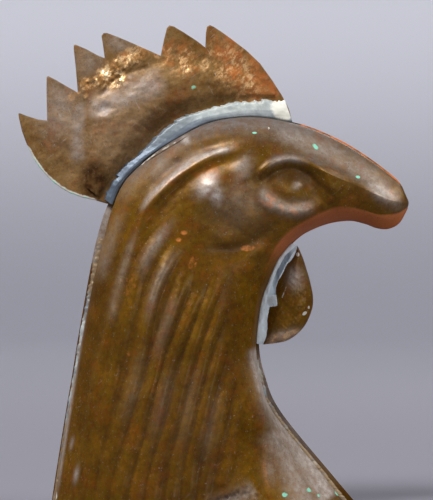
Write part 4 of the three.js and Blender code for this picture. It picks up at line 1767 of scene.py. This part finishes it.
@dataclass(frozen=True)
class CopperFinish:
    """Weathered copper sheet: brown patina in three tones over the metal beneath, with painted shade, sky
    sheen and highlights among its marks.
    """

    name: str
    dark: Colour
    middle: Colour
    ruddy: Colour
    # the next two colours also serve as painted highlights
    film_and_highlight: Colour
    bare_and_highlight: Colour
    rough: float = 0.38
    metal: float = 0.36
    cloud: float = 22.0
    coat: float = 0.28
    coat_rough: float = 0.3
    coat_ior: float = 1.42
    gloss: float = 0.03
    scratch: float = 0.2
    bump: float = 0.22
    # the upward deposit also stands for a painted sky sheen
    upward_dust_and_sheen: float = 0.85
    dust_and_sky_sheen: Colour = field(default_factory=lambda: shade(84, 82, 84))
    olive: Colour = field(default_factory=lambda: shade(104, 81, 8))
    underbeak: Colour = field(default_factory=lambda: shade(182, 106, 64))
    glint: Colour = field(default_factory=lambda: shade(250, 214, 160))
    gold: Colour = field(default_factory=lambda: shade(204, 146, 84))
    verdigris: Colour = field(default_factory=lambda: shade(132, 204, 176))
    # these also serve as painted glints and painted shade
    tin: Colour = field(default_factory=lambda: shade(206, 202, 188))
    grime_and_shade: Colour = field(default_factory=lambda: shade(54, 31, 10))

    def material(self, groups: SharedGroups) -> bpy.types.Material:
        """Build the material around the shared groups.

        Args:
            groups: the shared groups.

        Returns:
            The finished material.
        """
        graph, made = open_material(self.name)
        place = graph.place()
        cloud, mottle, tarnish, speck, grain = graph.group(groups.clouds, Place=place, Size=self.cloud)
        scraped = graph.math("ADD", graph.attribute(Mark.SCRAPED.value), self.scratch, clamp=True)
        (scratch,) = graph.group(groups.scratches, Place=place, Amount=scraped)
        fleck = graph.ramp(graph.noise(place, 0.42, 5.0, 0.7), 0.42, 0.62)
        dust_and_sky_sheen, drawn_film_and_highlight = graph.group(
            groups.film_and_highlight,
            Drawn=graph.attribute(Mark.FILM_AND_HIGHLIGHT.value),
            Mottle=graph.math("MULTIPLY", graph.math("ADD", mottle, fleck), 0.5),
            Amount=self.upward_dust_and_sheen,
        )
        bare_and_highlight = graph.attribute(Mark.BARE_AND_HIGHLIGHT.value)
        rubbed_and_highlight = graph.ramp(graph.total(bare_and_highlight, (mottle, 0.5)), 0.5, 1.4)
        rubbed_and_highlight = graph.math("MULTIPLY", rubbed_and_highlight, graph.ramp(bare_and_highlight, 0.02, 0.3))
        glint, golden = self.hammered(graph, place)
        # dark dirt, cracks and painted shade, broken up by the mottle
        grime_and_shade_cover = graph.total(0.65, (mottle, 0.45))
        grime_and_shade_cover = graph.math("MULTIPLY", graph.attribute(Mark.GRIME_AND_SHADE.value), grime_and_shade_cover, clamp=True)
        crust = graph.ramp(graph.total(graph.attribute(Mark.VERDIGRIS.value), (mottle, 0.3)), 0.45, 0.85)
        tinned_and_glint = graph.ramp(graph.total(graph.attribute(Mark.TIN.value), (mottle, 0.35)), 0.55, 0.95)
        colour = graph.layered(
            graph.mix(cloud, self.dark, self.middle),
            (graph.ramp(graph.noise(place, 0.11, 3.0), 0.5, 0.66), 0.6, self.ruddy),
            (mottle, 0.35, self.dark),
            (tarnish, 0.3, self.grime_and_shade),
            (fleck, 0.45, self.olive),
            # darker patina and painted shade in grooves, cord valleys and the neck's back margin
            (graph.ramp(graph.attribute("groove"), 0.5, 1.0), 0.55, self.grime_and_shade),
            (graph.attribute("bevel"), 0.8, self.underbeak),
            # grey deposit and painted sky sheen on upward faces
            (dust_and_sky_sheen, 1, self.dust_and_sky_sheen),
            # pale lilac patina and painted highlights where drawn
            (drawn_film_and_highlight, 1, self.film_and_highlight),
            (scratch, 0.5, self.film_and_highlight),
            # rubbed-through copper and painted highlights
            (rubbed_and_highlight, 1, self.bare_and_highlight),
            (glint, 1, golden),
            # dark dirt, cracks and painted shade
            (grime_and_shade_cover, 1, self.grime_and_shade),
            (speck, 0.14, self.film_and_highlight),
            (graph.ramp(graph.noise(place, 1.1, 2.0, 0.5), 0.68, 0.74), 0.22, self.film_and_highlight),
            (graph.ramp(graph.noise(place, 1.6, 3.0), 0.56, 0.72), 0.45, self.grime_and_shade),
            # solder and painted glints
            (tinned_and_glint, 1, self.tin),
            (crust, 1, self.verdigris),
        )
        dull = graph.math("MAXIMUM", crust, graph.math("MULTIPLY", grime_and_shade_cover, 0.5))
        matt = graph.math("MAXIMUM", dull, graph.math("MULTIPLY", graph.attribute("matt"), 0.9))
        metal = graph.total(self.metal, (dull, -self.metal))
        metal = graph.math("MULTIPLY", metal, graph.total(1.0, (drawn_film_and_highlight, -0.4)))
        metal = graph.math("MAXIMUM", metal, graph.math("MULTIPLY", glint, 0.95))
        rough = graph.total(self.rough, (mottle, 0.1), (dull, 0.3), (glint, -0.12), (matt, 0.22))
        relief = graph.total(mottle, (grain, 0.3), (tarnish, 0.6), (scratch, -0.6), (glint, 1.5), (crust, 2))
        bump = graph.add("ShaderNodeBump", {"Strength": self.bump, "Distance": 0.12 * MM, "Height": relief})
        graph.surface(
            {
                "Base Color": colour,
                "Metallic": graph.math("MULTIPLY", metal, graph.total(1.0, (matt, -0.7))),
                "Roughness": rough,
                "Specular IOR Level": self.gloss,
                "Normal": bump.outputs[0],
                "Coat Weight": graph.total(self.coat, (matt, -self.coat)),
                "Coat Roughness": self.coat_rough,
                "Coat IOR": self.coat_ior,
            }
        )
        return made

    def hammered(self, graph: Graph, place: object) -> tuple[bpy.types.NodeSocket, bpy.types.NodeSocket]:
        """Work out the hammered places.

        Args:
            graph: the material's graph.
            place: the place on the object.

        Returns:
            How strongly each place glints, and the colour of its light.
        """
        glitter = graph.attribute(Mark.GLITTER.value)
        patch = graph.ramp(graph.noise(place, 0.22, 5.0, 0.62), 0.42, 0.6)
        fine = graph.ramp(graph.noise(graph.place((1.0, 1.0, 0.45), -38.0), 0.62, 5.0, 0.7), 0.38, 0.62)
        flash = graph.total(graph.math("MULTIPLY", patch, 0.85), (fine, 0.45))
        flash = graph.math("MULTIPLY", flash, graph.ramp(graph.math("ADD", glitter, fine), 0.4, 1.4))
        glint = graph.math("MULTIPLY", glitter, flash, clamp=True)
        return glint, graph.mix(graph.math("MULTIPLY", patch, glitter), self.gold, self.glint)


@dataclass(frozen=True)
class SolderFinish:
    """Soft solder: slate grey with an icy bloom, cream oxide, brown stain and dark pits."""

    name: str = "soft_solder"
    slate: Colour = field(default_factory=lambda: shade(82, 94, 106))
    icy: Colour = field(default_factory=lambda: shade(124, 137, 150))
    pale: Colour = field(default_factory=lambda: shade(210, 216, 206))
    cream: Colour = field(default_factory=lambda: shade(226, 225, 210))
    stain: Colour = field(default_factory=lambda: shade(140, 118, 88))
    pit: Colour = field(default_factory=lambda: shade(48, 44, 40))

    def material(self, groups: SharedGroups) -> bpy.types.Material:
        """Build the material around the shared groups.

        Args:
            groups: the shared groups.

        Returns:
            The finished material.
        """
        graph, made = open_material(self.name)
        _, mottle, _, speck, grain = graph.group(groups.clouds, Place=graph.place(), Size=16.0)
        even = graph.total(0.7, (mottle, 0.3))
        bloom = graph.math("MULTIPLY", graph.attribute("crest"), even, clamp=True)
        oxide = graph.math("MULTIPLY", graph.attribute("pale"), even, clamp=True)
        blob = graph.ramp(graph.total(graph.attribute(Mark.TIN.value), (mottle, 0.3)), 0.5, 1.0)
        brown = graph.math("MULTIPLY", graph.attribute("stain"), graph.math("ADD", mottle, 0.75), clamp=True)
        pits = graph.math("MAXIMUM", graph.attribute(Mark.GRIME_AND_SHADE.value), graph.math("MULTIPLY", speck, 0.35))
        colour = graph.layered(
            self.slate,
            (oxide, 1, self.pale),
            (bloom, 0.7, self.icy),
            (blob, 1, self.cream),
            (brown, 1, self.stain),
            (pits, 1, self.pit),
        )
        chalk = graph.math("MAXIMUM", oxide, blob)
        relief = graph.total(mottle, (grain, 0.4))
        bump = graph.add("ShaderNodeBump", {"Strength": 0.3, "Distance": 0.15 * MM, "Height": relief})
        graph.surface(
            {
                "Base Color": colour,
                "Metallic": graph.total(0.35, (chalk, -0.25)),
                "Roughness": graph.total(0.42, (chalk, 0.25)),
                "Normal": bump.outputs[0],
            }
        )
        return made


@dataclass
class Studio:
    """A plain pale floor that sweeps up all round, soft lights and the camera at the photograph's angle."""

    lens: float = 180.0
    sensor: float = 36.0
    floor_radius: float = 1.9
    sweep: float = 1.7
    wall: float = 1.4
    world_strength: float = 0.27

    def camera(self) -> None:
        """Place the camera level at the bird's right side, with the photograph's framing."""
        width, height = to_world(np.array([[PHOTO_WIDTH / 2, PHOTO_HEIGHT / 2]]))
        tall = PHOTO_HEIGHT * SQUARE * MM
        away = tall * self.lens / self.sensor
        data = bpy.data.cameras.new("view")
        data.lens = self.lens
        data.sensor_width = self.sensor
        data.clip_start = 0.05
        data.clip_end = 20.0
        camera = bpy.data.objects.new("view", data)
        camera.location = (float(width[0]), -away, float(height[0]))
        camera.rotation_euler = (math.radians(90), 0.0, 0.0)
        bpy.context.scene.collection.objects.link(camera)
        bpy.context.scene.camera = camera

    def floor(self) -> None:
        """Make the floor as one round sheet with a raised rim."""
        steps, turns = 24, 96
        profile = [(0.0, 0.0), (self.floor_radius, 0.0)]
        for k in range(1, steps + 1):
            angle = math.pi / 2 * k / steps
            radius = self.floor_radius + self.sweep * math.sin(angle)
            profile.append((radius, self.sweep * (1 - math.cos(angle))))
        profile.append((self.floor_radius + self.sweep, self.sweep + self.wall))
        vertices = [(0.0, 0.0, 0.0)]
        for radius, height in profile[1:]:
            for k in range(turns):
                angle = 2 * math.pi * k / turns
                vertices.append((radius * math.cos(angle), radius * math.sin(angle), height))
        faces = [[0, 1 + k, 1 + (k + 1) % turns] for k in range(turns)]
        for ring in range(len(profile) - 2):
            first = 1 + ring * turns
            for k in range(turns):
                after = (k + 1) % turns
                faces.append([first + k, first + turns + k, first + turns + after, first + after])
        mesh = bpy.data.meshes.new("floor")
        mesh.from_pydata(vertices, [], faces)
        mesh.polygons.foreach_set("use_smooth", np.ones(len(mesh.polygons), bool))
        made = bpy.data.objects.new("floor", mesh)
        bpy.context.scene.collection.objects.link(made)
        mesh.materials.append(self.floor_material())

    def floor_material(self) -> bpy.types.Material:
        """Return the floor's pale paper, lighter outward and up its rim as a painted gradient of light and
        shade.

        Returns:
            The finished material.
        """
        graph, made = open_material("pale_paper")
        where = graph.add("ShaderNodeTexCoord").outputs["Object"]
        parts = graph.add("ShaderNodeSeparateXYZ", {0: where})
        flat = graph.add("ShaderNodeCombineXYZ", {0: parts.outputs["X"], 1: parts.outputs["Y"]})
        radius = graph.add("ShaderNodeVectorMath", {0: flat.outputs[0]}, operation="LENGTH").outputs["Value"]
        # painted light and shade: darker where the lamps pool in the middle, lighter outward and up the rim
        colour = graph.mix(graph.ramp(radius, 0.1, 1.9), shade(116, 115, 123), shade(152, 152, 160))
        colour = graph.mix(graph.ramp(parts.outputs["Z"], 0.0, 0.55), colour, shade(214, 215, 221))
        graph.surface({"Base Color": colour, "Roughness": 0.9})
        return made

    def light(self, name: str, place: Place, target: Place, size: Point, power: float, colour: Place) -> None:
        """Hang one soft light.

        Args:
            name: name of the lamp.
            place: where it hangs, in metres.
            target: what it faces.
            size: its width and height.
            power: its power in watts.
            colour: its red, green and blue.
        """
        data = bpy.data.lights.new(name, "AREA")
        data.shape = "RECTANGLE"
        data.size, data.size_y = size
        data.energy = power
        data.color = colour
        lamp = bpy.data.objects.new(name, data)
        lamp.location = place
        aim = Vector(target) - Vector(place)
        lamp.rotation_mode = "QUATERNION"
        lamp.rotation_quaternion = aim.to_track_quat("-Z", "Y")
        bpy.context.scene.collection.objects.link(lamp)

    def build(self) -> None:
        """Set up camera, floor, lights and sky."""
        self.camera()
        self.floor()
        bird = (0.0, 0.0, 0.12)
        self.light("key", (-0.8, -0.75, 1.45), bird, (0.62, 0.5), 38.0, (0.99, 0.98, 1.0))
        self.light("right", (1.6, -0.45, 1.2), bird, (0.6, 0.5), 15.0, (1.0, 0.98, 0.97))
        self.light("front", (0.9, -1.7, 0.35), bird, (0.6, 0.6), 5.0, (1.0, 0.98, 0.96))
        self.light("left", (0.4, 0.8, 0.9), bird, (0.5, 0.4), 3.0, (1.0, 0.98, 0.97))
        self.light("backdrop", (0.0, 1.2, 2.6), (0.0, 3.3, 0.5), (2.4, 0.8), 38.0, (0.98, 0.98, 1.0))
        world = bpy.data.worlds.new("sky")
        world.use_nodes = True
        graph = Graph(world.node_tree)
        sky_values = {"Color": shade(212, 214, 228), "Strength": self.world_strength}
        sky = graph.add("ShaderNodeBackground", sky_values)
        graph.add("ShaderNodeOutputWorld", {"Surface": sky.outputs[0]})
        bpy.context.scene.world = world
        bpy.context.scene.view_settings.view_transform = "Standard"


@dataclass
class Weathercock:
    """The whole bird: builds each piece, gives it its finish and hides the solid that it stands for."""

    body_finish: CopperFinish = field(
        default_factory=lambda: CopperFinish(
            "body_copper", shade(92, 58, 0), shade(124, 84, 8), shade(128, 69, 8), shade(182, 172, 162),
            shade(222, 134, 66),
        )
    )
    comb_finish: CopperFinish = field(
        default_factory=lambda: CopperFinish(
            "comb_copper", shade(114, 80, 34), shade(146, 113, 70), shade(134, 80, 36), shade(174, 163, 154),
            shade(162, 94, 46), rough=0.48, metal=0.32, olive=shade(128, 104, 64), cloud=16.0, scratch=0.6,
            bump=0.36, coat=0.18,
        )
    )
    solder_finish: SolderFinish = field(default_factory=SolderFinish)
    icy_finish: SolderFinish = field(
        default_factory=lambda: SolderFinish(
            "icy_solder", pale=shade(214, 232, 240), cream=shade(236, 250, 255)
        )
    )

    def attach(self, piece: bpy.types.Object, node: str, material: bpy.types.Material) -> None:
        """Dress a piece, hide the solid it stands for and hang it under the root.

        Args:
            piece: the fine mesh.
            node: the solid it stands for.
            material: its finish.
        """
        piece.data.materials.append(material)
        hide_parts(node)
        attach(piece, "root")
        log.info("%s: %d faces for %s", piece.name, len(piece.data.polygons), node)

    def build(self) -> None:
        """Build every piece in order."""
        groups = SharedGroups(cloud_group(), scratch_group(), film_group())
        body = self.body_finish.material(groups)
        comb = self.comb_finish.material(groups)
        solder = self.solder_finish.material(groups)
        icy = self.icy_finish.material(groups)
        for side in Side:
            word = side.word
            self.attach(BodyHalf(side).build(), f"{word}_half", body)
            self.attach(CombHalf(side).build(), f"comb_{word}", comb)
            self.attach(CombSolder(side).build(), f"comb_solder_{word}", solder)
            self.attach(WattleHalf(side).build(), f"wattle_{word}", body)
            self.attach(WattleSolder(side).build(), f"wattle_solder_{word}", icy)
        back_seam = SeamSolder("back_seam_line", at_back=True, last=NAPE - 1, cover=0.7)
        breast_seam = SeamSolder("breast_seam_line", at_back=False, last=THROAT - 0.5)
        self.attach(back_seam.build(), "back_seam_solder", solder)
        self.attach(breast_seam.build(), "breast_seam_solder", solder)


def main() -> None:
    """Build the bird and the studio."""
    logging.basicConfig(level=logging.INFO, format="%(name)s %(message)s")
    Studio().build()
    Weathercock().build()


if __name__ == "__main__":
    main()
